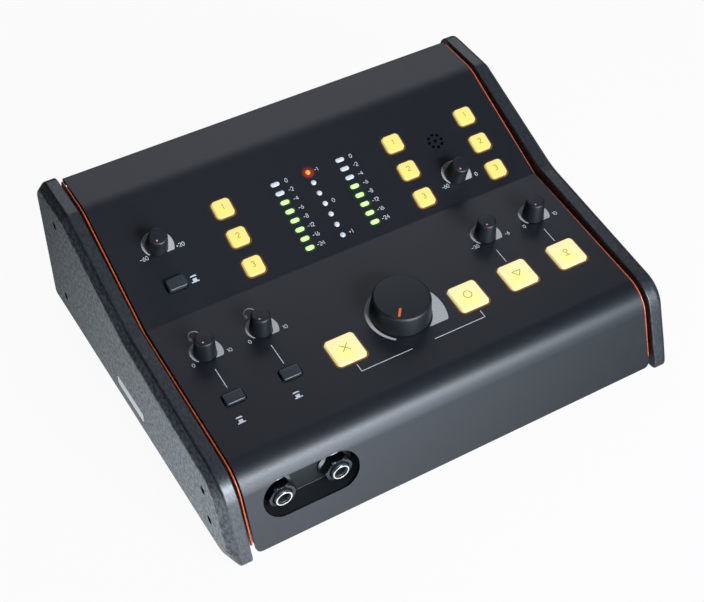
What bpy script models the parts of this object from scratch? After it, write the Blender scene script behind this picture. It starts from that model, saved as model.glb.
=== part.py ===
"""Studio monitor controller for a desk: a folded sheet-metal panel with two slopes between
two thick side cheeks, with seven rotary knobs, sixteen push buttons, two lamp meters, a
correlation meter, a talkback microphone, two headphone sockets and rear connectors.

Frame: +X to the user's right, +Y to the back, +Z up, in metres. The origin is on the table
under the middle of the box. Everything on a panel slope is placed by a share of the panel's
width and a share of the slope's run, and its depth is counted down from the panel's face.
"""

from collections import namedtuple
from math import atan2, ceil, cos, pi, radians, sin, tan

import bmesh
import bpy
from mathutils import Matrix, Vector

# Clearances
GAP = 0.0003
SHAFT_GAP = 0.00025
OVERRUN = 0.003
SOLDER_SINK = 0.0005
MERGE = 0.00005

# Roundness: the largest turn of one chord of an arc
FINE_TURN = radians(11.5)
SLOT_TURN = radians(18.5)
COARSE_TURN = radians(46.0)
MAIN_STEPS = 36
ROUND_STEPS = 20
SMALL_STEPS = 14
TINY_STEPS = 10

# Panel sheet, seen from the side, from its front foot to its rear edge
PANEL_WIDTH = 0.2350
SHEET = 0.0015
FRONT_SLOPE = radians(71.2)
LOWER_SLOPE = radians(5.3)
UPPER_SLOPE = radians(23.0)
TOP_SLOPE = 0.0
FRONT_RUN = 0.0443
LOWER_RUN = 0.0990
UPPER_RUN = 0.0727
TOP_RUN = 0.0292
REAR_LIP = 0.0050
FRONT_BEND = 0.0180
MIDDLE_BEND = 0.0070
REAR_BEND = 0.0060
LIP_BEND = 0.0022
PANEL_CORNER = 0.0030
CORNER_SEGMENTS = 3
FOOT_CLEARANCE = 0.0040
PANEL_LIFT = 0.0028

# Side cheeks, whose edge follows the panel more softly: how far it stands out at each corner
CHEEK_SPACING = 0.0029
CHEEK_THICKNESS = 0.01045
CHEEK_STANDS = (0.0014, 0.0010, 0.0028, 0.0002, 0.0003)
CHEEK_BENDS = (0.0200, 0.0400, 0.0080)
CHAMFER_WIDTH = 0.0038
CHAMFER_DROP = 0.0045
CHEEK_OVERHANG = 0.0053
CHEEK_TOE = 0.0020
CHEEK_SHOULDER = 0.0070
CHEEK_HEEL = 0.0020
SCREW_HEAD_RADIUS = 0.0026
SCREW_RECESS = 0.0030
SCREW_BOSS_RADIUS = 0.0045
SCREW_LOW = 0.0125
SCREW_FRONT_BACK = 0.0224
SCREW_FRONT_STEP = 0.0180
SCREW_FRONT_LEAN = 0.0046
SCREW_REAR_IN = 0.0188
SCREW_REAR_DROP = 0.0153
SCREW_REAR_LEAN = 0.0028

# Painted plates that stand between panel and cheeks
ACCENT_THICKNESS = 0.0010
ACCENT_SPACING = 0.0010
ACCENT_INSETS = (0.0012, 0.0007, 0.0016, 0.0008, 0.0006)
ACCENT_LIFT = 0.0035
ACCENT_REAR_IN = 0.0010

# Blank name plates, set in the cheeks
BADGE_LENGTH = 0.0320
BADGE_HEIGHT = 0.0072
BADGE_THICKNESS = 0.0010
BADGE_CUT = 0.0012
BADGE_UP = 0.0098
BADGE_FORWARD_SHARE = 0.527
BADGE_SUNK = 0.0005

# Chassis
TRAY_SHEET = 0.0012
TRAY_SIDE_IN = 0.0012
LEDGE_WIDTH = 0.0060
LEDGE_THICKNESS = 0.0015
REAR_SHEET = 0.0012

# Feet
FOOT_RADIUS = 0.0070
FOOT_TAPER = 0.0010
FOOT_IN = 0.0200

# Boards
BOARD = 0.0016
BOARD_DEPTH = 0.0130
BOARD_SIDE_IN = 0.0008
BOARD_END_SHARE = 0.045
LOWER_BOARD_START_SHARE = 0.115
LEDGE_SHARE = 0.90

# Rotary controls
POT_LENGTH = 0.0120
POT_WIDTH = 0.0110
POT_HEIGHT = 0.0065
POT_BUSH = 0.0035
POT_BUSH_PROUD = 0.0012
POT_SHAFT = 0.0023
POT_STEM = 0.0030
POT_WELL = 0.0100
MAIN_POT_RADIUS = 0.0100
MAIN_POT_HEIGHT = 0.0090
MAIN_BUSH = 0.0045
MAIN_SHAFT = 0.0030
KNOB_FOOT = 0.0006
KNOB_TAPER = 0.0012
KNOB_RADIUS = 0.0060
KNOB_HEIGHT = 0.0120
KNOB_ROUND = 0.0006
KNOB_WALL = 0.0011
KNOB_CROWN = 0.0020
KNOB_HOLLOW = 0.0032
MAIN_KNOB_RADIUS = 0.0160
MAIN_KNOB_TAPER = 0.0010
MAIN_KNOB_HEIGHT = 0.0125
MAIN_KNOB_WALL = 0.0030

# Lit square buttons
SMALL_BUTTON = 0.0101
LARGE_BUTTON = 0.0165
BUTTON_CORNER = 0.0022
BUTTON_PROUD = 0.0013
BUTTON_ROUND = 0.0005
BUTTON_ROUND_SHARE = 0.25
BUTTON_SIDE_GAP = 0.00035
BUTTON_LIP = 0.0007
BUTTON_LIP_HEIGHT = 0.0012
BUTTON_TRAVEL = 0.0015
PLUNGER = 0.0020
PLUNGER_REACH = 0.0015
SWITCH_SIDE = 0.0080
SWITCH_CLEAR = 0.0005
SWITCH_FLOOR = 0.0005

# Black latching buttons
PUSH_LENGTH = 0.0106
PUSH_WIDTH = 0.0065
PUSH_CORNER = 0.0011
PUSH_OUT = 0.0032
PUSH_LATCH = 0.0018
PUSH_OVERTRAVEL = 0.0007

# Lamps of the meters
BAR_LENGTH = 0.0050
BAR_WIDTH = 0.0023
DOT_RADIUS = 0.00145
LAMP_GAP = 0.00025
LAMP_SET_IN = 0.0002
GUIDE_WIDTH = 0.0072
GUIDE_END = 0.0022
BAR_COUNT = 8
DOT_COUNT = 7

# Talkback microphone
MIC_RADIUS = 0.00485
MIC_LENGTH = 0.0050
MIC_CUP_WALL = 0.0012
MIC_HOLE = 0.00085
MIC_RING = 0.0039
MIC_HOLE_COUNT = 8

# Headphone sockets in the front face
SLOT_RADIUS = 0.0106
RECESS_WALL = 0.0010
RECESS_DEPTH = 0.0080
SOCKET_BORE = 0.00325
BUSH_RADIUS = 0.0047
BUSH_SET_OUT = 0.0008
BUSH_ROUND = 0.0004
NUT_SIDES = 6
NUT_ACROSS = 0.0140
NUT_HEIGHT = 0.0046
NUT_CHAMFER = 0.0008
NUT_FLANGE_RADIUS = 0.0085
NUT_FLANGE_HEIGHT = 0.0022
SOCKET_BODY = 0.0150
SOCKET_BODY_LENGTH = 0.0240
SOCKET_BODY_DROP = 0.0025

# Rear connectors
XLR_BARREL = 0.0120
XLR_CUP = 0.0095
XLR_CUP_DEPTH = 0.0110
XLR_INSERT = 0.0072
XLR_INSERT_IN = 0.0010
XLR_COUNT = 4
XLR_PITCH_SHARE = 0.125
XLR_PLACE_SHARE = 0.030
XLR_MARGIN = 0.0010
JACK_BARREL = 0.0055
JACK_BARREL_PROUD = 0.0022
JACK_COLUMNS = 2
JACK_PITCH_SHARE = 0.075
JACK_PLACE_SHARE = -0.375
JACK_MARGIN = 0.0075
JACK_BORE_DEPTH = 0.0180
BANK_DEPTH = 0.0200
FLUSH = 0.0002
INLET_WIDTH = 0.0270
INLET_HEIGHT = 0.0470
INLET_PLACE_SHARE = 0.405
INLET_FLANGE = 0.0020
INLET_FLANGE_THICKNESS = 0.0020
INLET_CAVITY_WIDTH = 0.0222
INLET_CAVITY_HEIGHT = 0.0160
INLET_CAVITY_DEPTH = 0.0150
INLET_CORNER = 0.0030
ROCKER_WIDTH = 0.0170
ROCKER_HALF = 0.0058
ROCKER_FACE = 0.0010
ROCKER_BACK = 0.0030
ROCKER_TILT = radians(8.0)
ROCKER_WELL = 0.0080
ROCKER_CLEAR = 0.0007
ROCKER_INSET = 0.0020
LOWER_ROW_SHARE = 0.270
UPPER_ROW_SHARE = 0.715
JACK_ROW_SHARES = (0.20, 0.48, 0.76)
INLET_ROW_SHARE = 0.43
INLET_SOCKET_SHARE = -0.21
INLET_ROCKER_SHARE = 0.25

# Places across the panel, as shares of its width
OUTER_SHARE = 0.418
NEXT_SHARE = 0.286
BESIDE_MAIN_SHARE = 0.1545
SELECT_SHARE = 0.2205
METER_SHARE = 0.084
CUE_SHARE = 0.319
AUX_SHARE = -0.395
FOOT_SHARE = 0.44

# Places up each slope, as shares of its run
SELECT_ROW_SHARES = (0.142, 0.3875, 0.633)
LARGE_ROW_SHARE = 0.420
PUSH_ROW_SHARE = 0.423
KNOB_ROW_SHARE = 0.733
MAIN_ROW_SHARE = 0.495
AUX_KNOB_SHARE = 0.549
AUX_PUSH_SHARE = 0.227
CUE_KNOB_SHARE = 0.220
MIC_ROW_SHARE = 0.532
BAR_FIRST_SHARE = 0.1128
BAR_PITCH_SHARE = 0.0788
DOT_FIRST_SHARE = 0.1114
DOT_PITCH_SHARE = 0.0918
SOCKET_ROW_SHARE = 0.537

Slope = namedtuple("Slope", "start end")


# Outlines
def wrapped(angle):
    """The same turn between minus and plus half a circle."""
    return (angle + pi) % (2 * pi) - pi


def rounded(points, radii, turn=FINE_TURN):
    """A closed outline whose corners with a radius are replaced by arcs."""
    outline = []
    count = len(points)
    for index, (corner, radius) in enumerate(zip(points, radii)):
        if radius == 0:
            outline.append(corner)
            continue
        before = (points[index - 1] - corner).normalized()
        after = (points[(index + 1) % count] - corner).normalized()
        half = before.angle(after) / 2
        centre = corner + (before + after).normalized() * radius / sin(half)
        first = corner + before * radius / tan(half) - centre
        last = corner + after * radius / tan(half) - centre
        start = atan2(first.y, first.x)
        sweep = wrapped(atan2(last.y, last.x) - start)
        steps = max(2, ceil(abs(sweep) / turn))
        for step in range(steps + 1):
            angle = start + sweep * step / steps
            outline.append(centre + radius * Vector((cos(angle), sin(angle))))
    return outline


def rectangle(length, width, radius=0.0, turn=COARSE_TURN):
    """A rectangle about the origin, with its four corners rounded alike."""
    x, y = length / 2, width / 2
    corners = [Vector(p) for p in ((x, y), (-x, y), (-x, -y), (x, -y))]
    path = rounded(corners, [radius] * len(corners), turn)
    # where two corners meet in a half circle, their shared point is kept once
    return [point for last, point in zip(path[-1:] + path, path) if (point - last).length > MERGE]


def circle(radius, steps, start=0.0):
    """A regular polygon on a circle about the origin."""
    return [radius * Vector((cos(a), sin(a))) for a in (start + 2 * pi * i / steps for i in range(steps))]


def offset_chain(points, distances):
    """An open chain moved to its left, by a distance for each corner, with mitred corners."""
    normals = []
    for first, second in zip(points, points[1:]):
        run = (second - first).normalized()
        normals.append(Vector((-run.y, run.x)))
    moved = [points[0] + normals[0] * distances[0]]
    for corner, left, right, distance in zip(points[1:-1], normals, normals[1:], distances[1:-1]):
        moved.append(corner + (left + right) * distance / (1 + left.dot(right)))
    moved.append(points[-1] + normals[-1] * distances[-1])
    return moved


def side_outline(corners, stands, bends, inward, low, back, ends=(0.0, 0.0, 0.0)):
    """The case seen from the side: the panel's line moved out, cut off at a level and at the back."""
    line = offset_chain(corners, [stand - inward for stand in stands])
    run = line[1] - line[0]
    line[0] = line[0] + run * (low - line[0].y) / run.y
    line[-1] = Vector((back, line[-1].y))
    front, middle, rear = bends
    toe, shoulder, heel = ends
    radii = (toe, front - inward, middle + inward, rear - inward, shoulder, heel)
    return rounded([*line, Vector((back, low))], radii)


def panel_corners():
    """Corners of the panel's face seen from the side, as (y, z), with the cheeks centred on y = 0."""
    corners = [Vector((0.0, FOOT_CLEARANCE + PANEL_LIFT))]
    runs = (FRONT_RUN, LOWER_RUN, UPPER_RUN, TOP_RUN)
    slopes = (FRONT_SLOPE, LOWER_SLOPE, UPPER_SLOPE, TOP_SLOPE)
    for run, slope in zip(runs, slopes):
        corners.append(corners[-1] + run * Vector((cos(slope), sin(slope))))
    back = corners[-1].x + CHEEK_OVERHANG
    reach = side_outline(corners, CHEEK_STANDS, CHEEK_BENDS, 0.0, FOOT_CLEARANCE, back, CHEEK_ENDS)
    middle = (min(p.x for p in reach) + max(p.x for p in reach)) / 2
    return [corner - Vector((middle, 0.0)) for corner in corners]


PANEL_BENDS = (FRONT_BEND, MIDDLE_BEND, REAR_BEND)
FLAT_STANDS = (0.0, 0.0, 0.0, 0.0, 0.0)
ACCENT_STANDS = [-inset for inset in ACCENT_INSETS]
CHEEK_ENDS = (CHEEK_TOE, CHEEK_SHOULDER, CHEEK_HEEL)
CORNERS = panel_corners()
FRONT = Slope(CORNERS[0], CORNERS[1])
LOWER = Slope(CORNERS[1], CORNERS[2])
UPPER = Slope(CORNERS[2], CORNERS[3])

# Levels and planes that several pieces share
BASE = CORNERS[0].y
TOP = CORNERS[-1].y
BACK = CORNERS[-1].x
CHEEK_BACK = BACK + CHEEK_OVERHANG
UNDER_SHEET = SHEET + GAP
FLOOR = BASE + TRAY_SHEET
TRAY_HALF = PANEL_WIDTH / 2 - TRAY_SIDE_IN
TRAY_INNER_HALF = TRAY_HALF - TRAY_SHEET
REAR_FACE = BACK - UNDER_SHEET
REAR_INNER = REAR_FACE - REAR_SHEET
REAR_LOW = FLOOR + GAP
REAR_HIGH = TOP - UNDER_SHEET
ACCENT_INNER = PANEL_WIDTH / 2 + ACCENT_SPACING
ACCENT_OUTER = ACCENT_INNER + ACCENT_THICKNESS
CHEEK_INNER = PANEL_WIDTH / 2 + CHEEK_SPACING
CHEEK_OUTER = CHEEK_INNER + CHEEK_THICKNESS
LIP_TOP = UNDER_SHEET
LIP_BOTTOM = LIP_TOP + BUTTON_LIP_HEIGHT
SWITCH_TOP = LIP_BOTTOM + PUSH_LATCH + PUSH_OVERTRAVEL + SWITCH_CLEAR
SWITCH_HEIGHT = BOARD_DEPTH - SWITCH_TOP

# The side view drawn in local x and y, with local z across the case
SIDE = Matrix(((0, 0, 1, 0), (1, 0, 0, 0), (0, 1, 0, 0), (0, 0, 0, 1)))


def on_slope(slope, across, up, down=0.0):
    """Frame on a panel slope: x across, y up the slope, z out of the panel, sunk by down."""
    run = slope.end - slope.start
    along = run.normalized()
    place = slope.start + run * up - Vector((-along.y, along.x)) * down
    frame = Matrix(((1, 0, 0), (0, along.x, -along.y), (0, along.y, along.x))).to_4x4()
    frame.translation = (across * PANEL_WIDTH, place.x, place.y)
    return frame


def board_span(slope):
    """Where the board under a slope has its middle, as a share of the run, and its length."""
    start = LOWER_BOARD_START_SHARE if slope == LOWER else BOARD_END_SHARE
    end = 1 - BOARD_END_SHARE
    return (start + end) / 2, (end - start) * (slope.end - slope.start).length


def on_rear(across, up):
    """Frame on the rear panel's face: x to the user's left, y up, z out of the back."""
    frame = Matrix(((-1, 0, 0), (0, 0, 1), (0, 1, 0))).to_4x4()
    frame.translation = (across * PANEL_WIDTH, REAR_FACE, REAR_LOW + up * (REAR_HIGH - REAR_LOW))
    return frame


# Scene and materials
def empty_scene():
    """Remove what the scene holds and make the collections for parts and for cutters."""
    for old in list(bpy.data.objects):
        bpy.data.objects.remove(old, do_unlink=True)
    made = []
    for name in ("studio_monitor_controller", "cutters"):
        group = bpy.data.collections.new(name)
        bpy.context.scene.collection.children.link(group)
        made.append(group)
    return made


PARTS, CUTTERS = empty_scene()

FINISHES = {
    "satin_black_panel": ((0.020, 0.023, 0.030), 0.42, 0.0),
    "textured_black_cheek": ((0.022, 0.024, 0.028), 0.70, 0.0),
    "orange_paint": ((0.72, 0.16, 0.05), 0.45, 0.0),
    "blank_badge": ((0.62, 0.63, 0.64), 0.40, 0.6),
    "black_steel": ((0.025, 0.027, 0.030), 0.50, 0.4),
    "foot_rubber": ((0.015, 0.015, 0.016), 0.85, 0.0),
    "knob_soft_black": ((0.018, 0.021, 0.025), 0.60, 0.0),
    "lit_cap": ((0.95, 0.88, 0.48), 0.35, 0.0),
    "push_black": ((0.030, 0.032, 0.036), 0.45, 0.0),
    "lamp_clear": ((0.62, 0.78, 0.50), 0.30, 0.0),
    "board_green": ((0.02, 0.10, 0.05), 0.50, 0.0),
    "shaft_steel": ((0.60, 0.60, 0.60), 0.30, 1.0),
    "connector_black": ((0.020, 0.020, 0.022), 0.50, 0.0),
    "nut_black": ((0.030, 0.032, 0.036), 0.30, 0.5),
    "mic_metal": ((0.50, 0.50, 0.50), 0.40, 1.0),
}


def material(name):
    """The named finish as a Principled material, made once."""
    found = bpy.data.materials.get(name)
    if found:
        return found
    colour, roughness, metallic = FINISHES[name]
    made = bpy.data.materials.new(name)
    made.use_nodes = True
    shader = made.node_tree.nodes["Principled BSDF"]
    shader.inputs["Base Color"].default_value = (*colour, 1.0)
    shader.inputs["Roughness"].default_value = roughness
    shader.inputs["Metallic"].default_value = metallic
    return made


# Solids
def mesh_from(name, shape):
    """A mesh from a closed bmesh, with its faces turned outwards."""
    bmesh.ops.recalc_face_normals(shape, faces=shape.faces)
    if shape.calc_volume(signed=True) < 0:
        bmesh.ops.reverse_faces(shape, faces=shape.faces)
    mesh = bpy.data.meshes.new(name)
    shape.to_mesh(mesh)
    shape.free()
    return mesh


def put(name, shape, finish=None, frame=None):
    """An object from a bmesh: a part if it has a finish, otherwise a cutter."""
    return put_mesh(name, mesh_from(name, shape), finish, frame)


def put_mesh(name, mesh, finish=None, frame=None):
    """An object that uses a mesh, placed by a frame."""
    obj = bpy.data.objects.new(name, mesh)
    if finish:
        PARTS.objects.link(obj)
        if not mesh.materials:
            mesh.materials.append(material(finish))
    else:
        CUTTERS.objects.link(obj)
        obj.hide_render = True
        obj.display_type = "WIRE"
    if frame:
        obj.matrix_world = frame
    return obj


def prism(outline, low, high):
    """A flat outline pulled up from one height to another."""
    shape = bmesh.new()
    face = shape.faces.new([shape.verts.new((p.x, p.y, low)) for p in outline])
    pulled = bmesh.ops.extrude_face_region(shape, geom=[face])["geom"]
    moved = [v for v in pulled if isinstance(v, bmesh.types.BMVert)]
    bmesh.ops.translate(shape, verts=moved, vec=(0.0, 0.0, high - low))
    return shape


def stack(sections):
    """A closed solid through flat outlines of equal count, each at its own height."""
    shape = bmesh.new()
    rings = [[shape.verts.new((p.x, p.y, height)) for p in outline] for height, outline in sections]
    for ring in (rings[0], rings[-1]):
        shape.faces.new(ring)
    for first, second in zip(rings, rings[1:]):
        for a, b, c, d in zip(first, first[1:] + first[:1], second[1:] + second[:1], second):
            shape.faces.new((a, b, c, d))
    return shape


def box(size, centre):
    """A box of a size about a centre."""
    shape = bmesh.new()
    bmesh.ops.create_cube(shape, size=1.0)
    bmesh.ops.scale(shape, vec=size, verts=shape.verts)
    bmesh.ops.translate(shape, vec=centre, verts=shape.verts)
    return shape


def block(low, high):
    """A box between two corners."""
    low, high = Vector(low), Vector(high)
    return box(high - low, (low + high) / 2)


def turned(name, profile, finish, frame, steps):
    """A profile of (radius, height) points, outer side downwards, turned about the local z axis."""
    shape = bmesh.new()
    verts = [shape.verts.new((radius, 0.0, height)) for radius, height in profile]
    for pair in zip(verts, verts[1:]):
        shape.edges.new(pair)
    mesh = bpy.data.meshes.new(name)
    shape.to_mesh(mesh)
    shape.free()
    obj = put_mesh(name, mesh, finish, frame)
    screw = obj.modifiers.new("turn", "SCREW")
    screw.axis = "Z"
    screw.steps = steps
    screw.render_steps = steps
    screw.use_merge_vertices = True
    screw.merge_threshold = MERGE
    return obj


def combine(obj, operation, tools):
    """Join shapes to an object, or cut them from it."""
    group = bpy.data.collections.new(f"{obj.name}_{operation.lower()}")
    CUTTERS.children.link(group)
    for tool in tools:
        group.objects.link(tool)
        CUTTERS.objects.unlink(tool)
    modifier = obj.modifiers.new(operation.title(), "BOOLEAN")
    modifier.operation = operation
    modifier.solver = "EXACT"
    modifier.operand_type = "COLLECTION"
    modifier.collection = group


# Controls on the slopes: name, slope, place across and place up
LIT_SMALL = [
    (f"{group}_button_{row + 1}", UPPER, across, up)
    for group, across in (("input", -SELECT_SHARE), ("output", SELECT_SHARE), ("cue", OUTER_SHARE))
    for row, up in enumerate(reversed(SELECT_ROW_SHARES))
]
LIT_LARGE = [
    ("mute_button", LOWER, -BESIDE_MAIN_SHARE, LARGE_ROW_SHARE),
    ("mono_button", LOWER, BESIDE_MAIN_SHARE, LARGE_ROW_SHARE),
    ("dim_button", LOWER, NEXT_SHARE, LARGE_ROW_SHARE),
    ("talk_button", LOWER, OUTER_SHARE, LARGE_ROW_SHARE),
]
PUSHES = [
    ("aux_push_button", UPPER, AUX_SHARE, AUX_PUSH_SHARE, 0.0),
    ("phones_1_push_button", LOWER, -OUTER_SHARE, PUSH_ROW_SHARE, PUSH_LATCH),
    ("phones_2_push_button", LOWER, -NEXT_SHARE, PUSH_ROW_SHARE, PUSH_LATCH),
]
SMALL_KNOBS = [
    ("aux_level", UPPER, AUX_SHARE, AUX_KNOB_SHARE),
    ("cue_level", UPPER, CUE_SHARE, CUE_KNOB_SHARE),
    ("phones_1_level", LOWER, -OUTER_SHARE, KNOB_ROW_SHARE),
    ("phones_2_level", LOWER, -NEXT_SHARE, KNOB_ROW_SHARE),
    ("dim_level", LOWER, NEXT_SHARE, KNOB_ROW_SHARE),
    ("talk_level", LOWER, OUTER_SHARE, KNOB_ROW_SHARE),
]
MAIN_PLACE = (LOWER, 0.0, MAIN_ROW_SHARE)
MIC_PLACE = (UPPER, CUE_SHARE, MIC_ROW_SHARE)
BAR_SHARES = [BAR_FIRST_SHARE + BAR_PITCH_SHARE * i for i in range(BAR_COUNT)]
DOT_SHARES = [DOT_FIRST_SHARE + DOT_PITCH_SHARE * i for i in range(DOT_COUNT)]
SOCKET_SHARES = (-OUTER_SHARE, -NEXT_SHARE)
SLOT_MIDDLE_SHARE = sum(SOCKET_SHARES) / len(SOCKET_SHARES)
SLOT_LENGTH = (SOCKET_SHARES[1] - SOCKET_SHARES[0]) * PANEL_WIDTH + 2 * SLOT_RADIUS


# Panel
def panel_cutters():
    """Everything that is cut through the panel's sheet."""
    through = (-SHEET - OVERRUN, OVERRUN)

    def cut(outline, place):
        return put("panel_cut", prism(outline, *through), frame=on_slope(*place))

    cutters = []
    for side, lit in ((SMALL_BUTTON, LIT_SMALL), (LARGE_BUTTON, LIT_LARGE)):
        hole = side + 2 * BUTTON_SIDE_GAP
        cutters += [cut(rectangle(hole, hole, BUTTON_CORNER), place[1:]) for place in lit]
    slot = (PUSH_LENGTH + 2 * BUTTON_SIDE_GAP, PUSH_WIDTH + 2 * BUTTON_SIDE_GAP, PUSH_CORNER)
    cutters += [cut(rectangle(*slot), place[1:4]) for place in PUSHES]
    cutters += [cut(circle(POT_BUSH + GAP, SMALL_STEPS), place[1:]) for place in SMALL_KNOBS]
    cutters.append(cut(circle(MAIN_BUSH + GAP, SMALL_STEPS), MAIN_PLACE))
    bar = rectangle(BAR_LENGTH + 2 * LAMP_GAP, BAR_WIDTH + 2 * LAMP_GAP)
    for side in (-1, 1):
        cutters += [cut(bar, (UPPER, side * METER_SHARE, up)) for up in BAR_SHARES]
    cutters += [cut(circle(DOT_RADIUS + LAMP_GAP, TINY_STEPS), (UPPER, 0.0, up)) for up in DOT_SHARES]
    for place in [Vector((0.0, 0.0)), *circle(MIC_RING, MIC_HOLE_COUNT)]:
        outline = [p + place for p in circle(MIC_HOLE, TINY_STEPS)]
        cutters.append(cut(outline, MIC_PLACE))
    slot = rectangle(SLOT_LENGTH, 2 * SLOT_RADIUS, SLOT_RADIUS, SLOT_TURN)
    cutters.append(cut(slot, (FRONT, SLOT_MIDDLE_SHARE, SOCKET_ROW_SHARE)))
    return cutters


def top_cover():
    """The folded sheet: its face is drawn as a strip, given its thickness, then cut."""
    lip = Vector((BACK, TOP - REAR_LIP))
    radii = (0.0, FRONT_BEND, MIDDLE_BEND, REAR_BEND, LIP_BEND, 0.0)
    line = rounded([*CORNERS, lip], radii)
    shape = bmesh.new()
    left = -PANEL_WIDTH / 2
    verts = [shape.verts.new((left, p.x, p.y)) for p in line]
    edges = [shape.edges.new(pair) for pair in zip(verts, verts[1:])]
    pulled = bmesh.ops.extrude_edge_only(shape, edges=edges)["geom"]
    moved = [v for v in pulled if isinstance(v, bmesh.types.BMVert)]
    bmesh.ops.translate(shape, verts=moved, vec=(PANEL_WIDTH, 0.0, 0.0))
    feet = sorted(shape.verts, key=lambda v: v.co.z)[:2]
    bmesh.ops.bevel(
        shape, geom=feet, offset=PANEL_CORNER, segments=CORNER_SEGMENTS, profile=0.5, affect="VERTICES"
    )
    bmesh.ops.recalc_face_normals(shape, faces=shape.faces)
    highest = max(shape.faces, key=lambda f: f.calc_center_median().z)
    if highest.normal.z < 0:
        bmesh.ops.reverse_faces(shape, faces=shape.faces)
    mesh = bpy.data.meshes.new("top_cover")
    shape.to_mesh(mesh)
    shape.free()
    cover = put_mesh("top_cover", mesh, "satin_black_panel")
    solidify = cover.modifiers.new("sheet", "SOLIDIFY")
    solidify.thickness = SHEET
    solidify.offset = -1.0
    solidify.use_even_offset = True
    combine(cover, "DIFFERENCE", panel_cutters())


# Cheeks and the plates beside them
def screw_places():
    """Cheek screws seen from the side, as (y, z): two that follow the front, two near the back."""
    low = FOOT_CLEARANCE + SCREW_LOW
    front = Vector((CORNERS[0].x + SCREW_FRONT_BACK, low))
    rear = Vector((CHEEK_BACK - SCREW_REAR_IN, low))
    above = Vector((rear.x - SCREW_REAR_LEAN, TOP - SCREW_REAR_DROP))
    return [front, front + Vector((SCREW_FRONT_LEAN, SCREW_FRONT_STEP)), rear, above]


def badge_outline(grown=0.0):
    """The name plate's outline: a rectangle with its corners cut."""
    x, y = BADGE_LENGTH / 2 + grown, BADGE_HEIGHT / 2 + grown
    cut = BADGE_CUT
    corners = ((x - cut, y), (cut - x, y), (-x, y - cut), (-x, cut - y), (cut - x, -y), (x - cut, -y))
    outline = [Vector(p) for p in (*corners, (x, cut - y), (x, y - cut))]
    depth = CHEEK_BACK - CORNERS[0].x
    place = Vector((CORNERS[0].x + depth * BADGE_FORWARD_SHARE, FOOT_CLEARANCE + BADGE_UP))
    return [p + place for p in outline]


def cheek(name, side):
    """A thick side piece: three sections of the case's outline, so that its edge has a wide chamfer."""
    inner, edge, outer = CHEEK_INNER, CHEEK_OUTER - CHAMFER_WIDTH, CHEEK_OUTER
    sections = []
    for across, inward in ((inner, 0.0), (edge, 0.0), (outer, CHAMFER_DROP)):
        rim = (CORNERS, CHEEK_STANDS, CHEEK_BENDS, inward)
        sections.append((side * across, side_outline(*rim, FOOT_CLEARANCE, CHEEK_BACK, CHEEK_ENDS)))
    obj = put(name, stack(sections), "textured_black_cheek", SIDE)
    pads = []
    depth = span(side, outer - BADGE_SUNK - BADGE_THICKNESS - GAP, outer + OVERRUN)
    recesses = [put("badge_recess", prism(badge_outline(GAP), *depth), frame=SIDE)]
    for place in screw_places():
        pad = [p + place for p in circle(SCREW_BOSS_RADIUS, SMALL_STEPS)]
        hole = [p + place for p in circle(SCREW_HEAD_RADIUS, SMALL_STEPS)]
        face = ACCENT_OUTER + GAP
        pads.append(put("screw_pad", prism(pad, *span(side, face, inner + SOLDER_SINK)), frame=SIDE))
        depth = span(side, outer - SCREW_RECESS, outer + OVERRUN)
        recesses.append(put("screw_recess", prism(hole, *depth), frame=SIDE))
    combine(obj, "UNION", pads)
    combine(obj, "DIFFERENCE", recesses)


def span(side, near, far):
    """Two places across the case, in rising order, on the left (-1) or the right (1)."""
    return sorted((side * near, side * far))


def accent_plate(name, side):
    """The thin painted plate between panel and cheek."""
    ends = (PANEL_CORNER, PANEL_CORNER, PANEL_CORNER)
    reach = (BASE + ACCENT_LIFT, BACK - ACCENT_REAR_IN)
    outline = side_outline(CORNERS, ACCENT_STANDS, PANEL_BENDS, 0.0, *reach, ends)
    put(name, prism(outline, *span(side, ACCENT_INNER, ACCENT_OUTER)), "orange_paint", SIDE)


def badge(name, side):
    """The blank name plate, a little below the cheek's face."""
    depth = span(side, CHEEK_OUTER - BADGE_SUNK - BADGE_THICKNESS, CHEEK_OUTER - BADGE_SUNK)
    put(name, prism(badge_outline(), *depth), "blank_badge", SIDE)


# Chassis
def ledges(side):
    """Shelves on a side wall, under the edges of the two control boards."""
    shapes = []
    down = BOARD_DEPTH + BOARD + GAP
    width = LEDGE_WIDTH + SOLDER_SINK
    centre = side * (TRAY_INNER_HALF + SOLDER_SINK - width / 2)
    for slope in (LOWER, UPPER):
        middle, run = board_span(slope)
        shelf = box((width, run * LEDGE_SHARE, LEDGE_THICKNESS), (centre, 0.0, -LEDGE_THICKNESS / 2))
        shapes.append(put("ledge", shelf, frame=on_slope(slope, 0.0, middle, down)))
    return shapes


def chassis_tray():
    """Base and two side walls folded from one sheet, with ledges and screw bosses."""
    outline = side_outline(CORNERS, FLAT_STANDS, PANEL_BENDS, UNDER_SHEET, BASE, REAR_FACE)
    tray = put("chassis_tray", prism(outline, -TRAY_HALF, TRAY_HALF), "black_steel", SIDE)
    low = (-TRAY_INNER_HALF, CORNERS[0].x - OVERRUN, FLOOR)
    high = (TRAY_INNER_HALF, BACK + OVERRUN, TOP + OVERRUN)
    combine(tray, "DIFFERENCE", [put("tray_hollow", block(low, high))])
    joined = []
    for side in (-1, 1):
        joined += ledges(side)
        reach = span(side, TRAY_HALF - SOLDER_SINK, ACCENT_INNER - GAP)
        for place in screw_places():
            outline = [p + place for p in circle(SCREW_BOSS_RADIUS, SMALL_STEPS)]
            joined.append(put("screw_boss", prism(outline, *reach), frame=SIDE))
    combine(tray, "UNION", joined)


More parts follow.
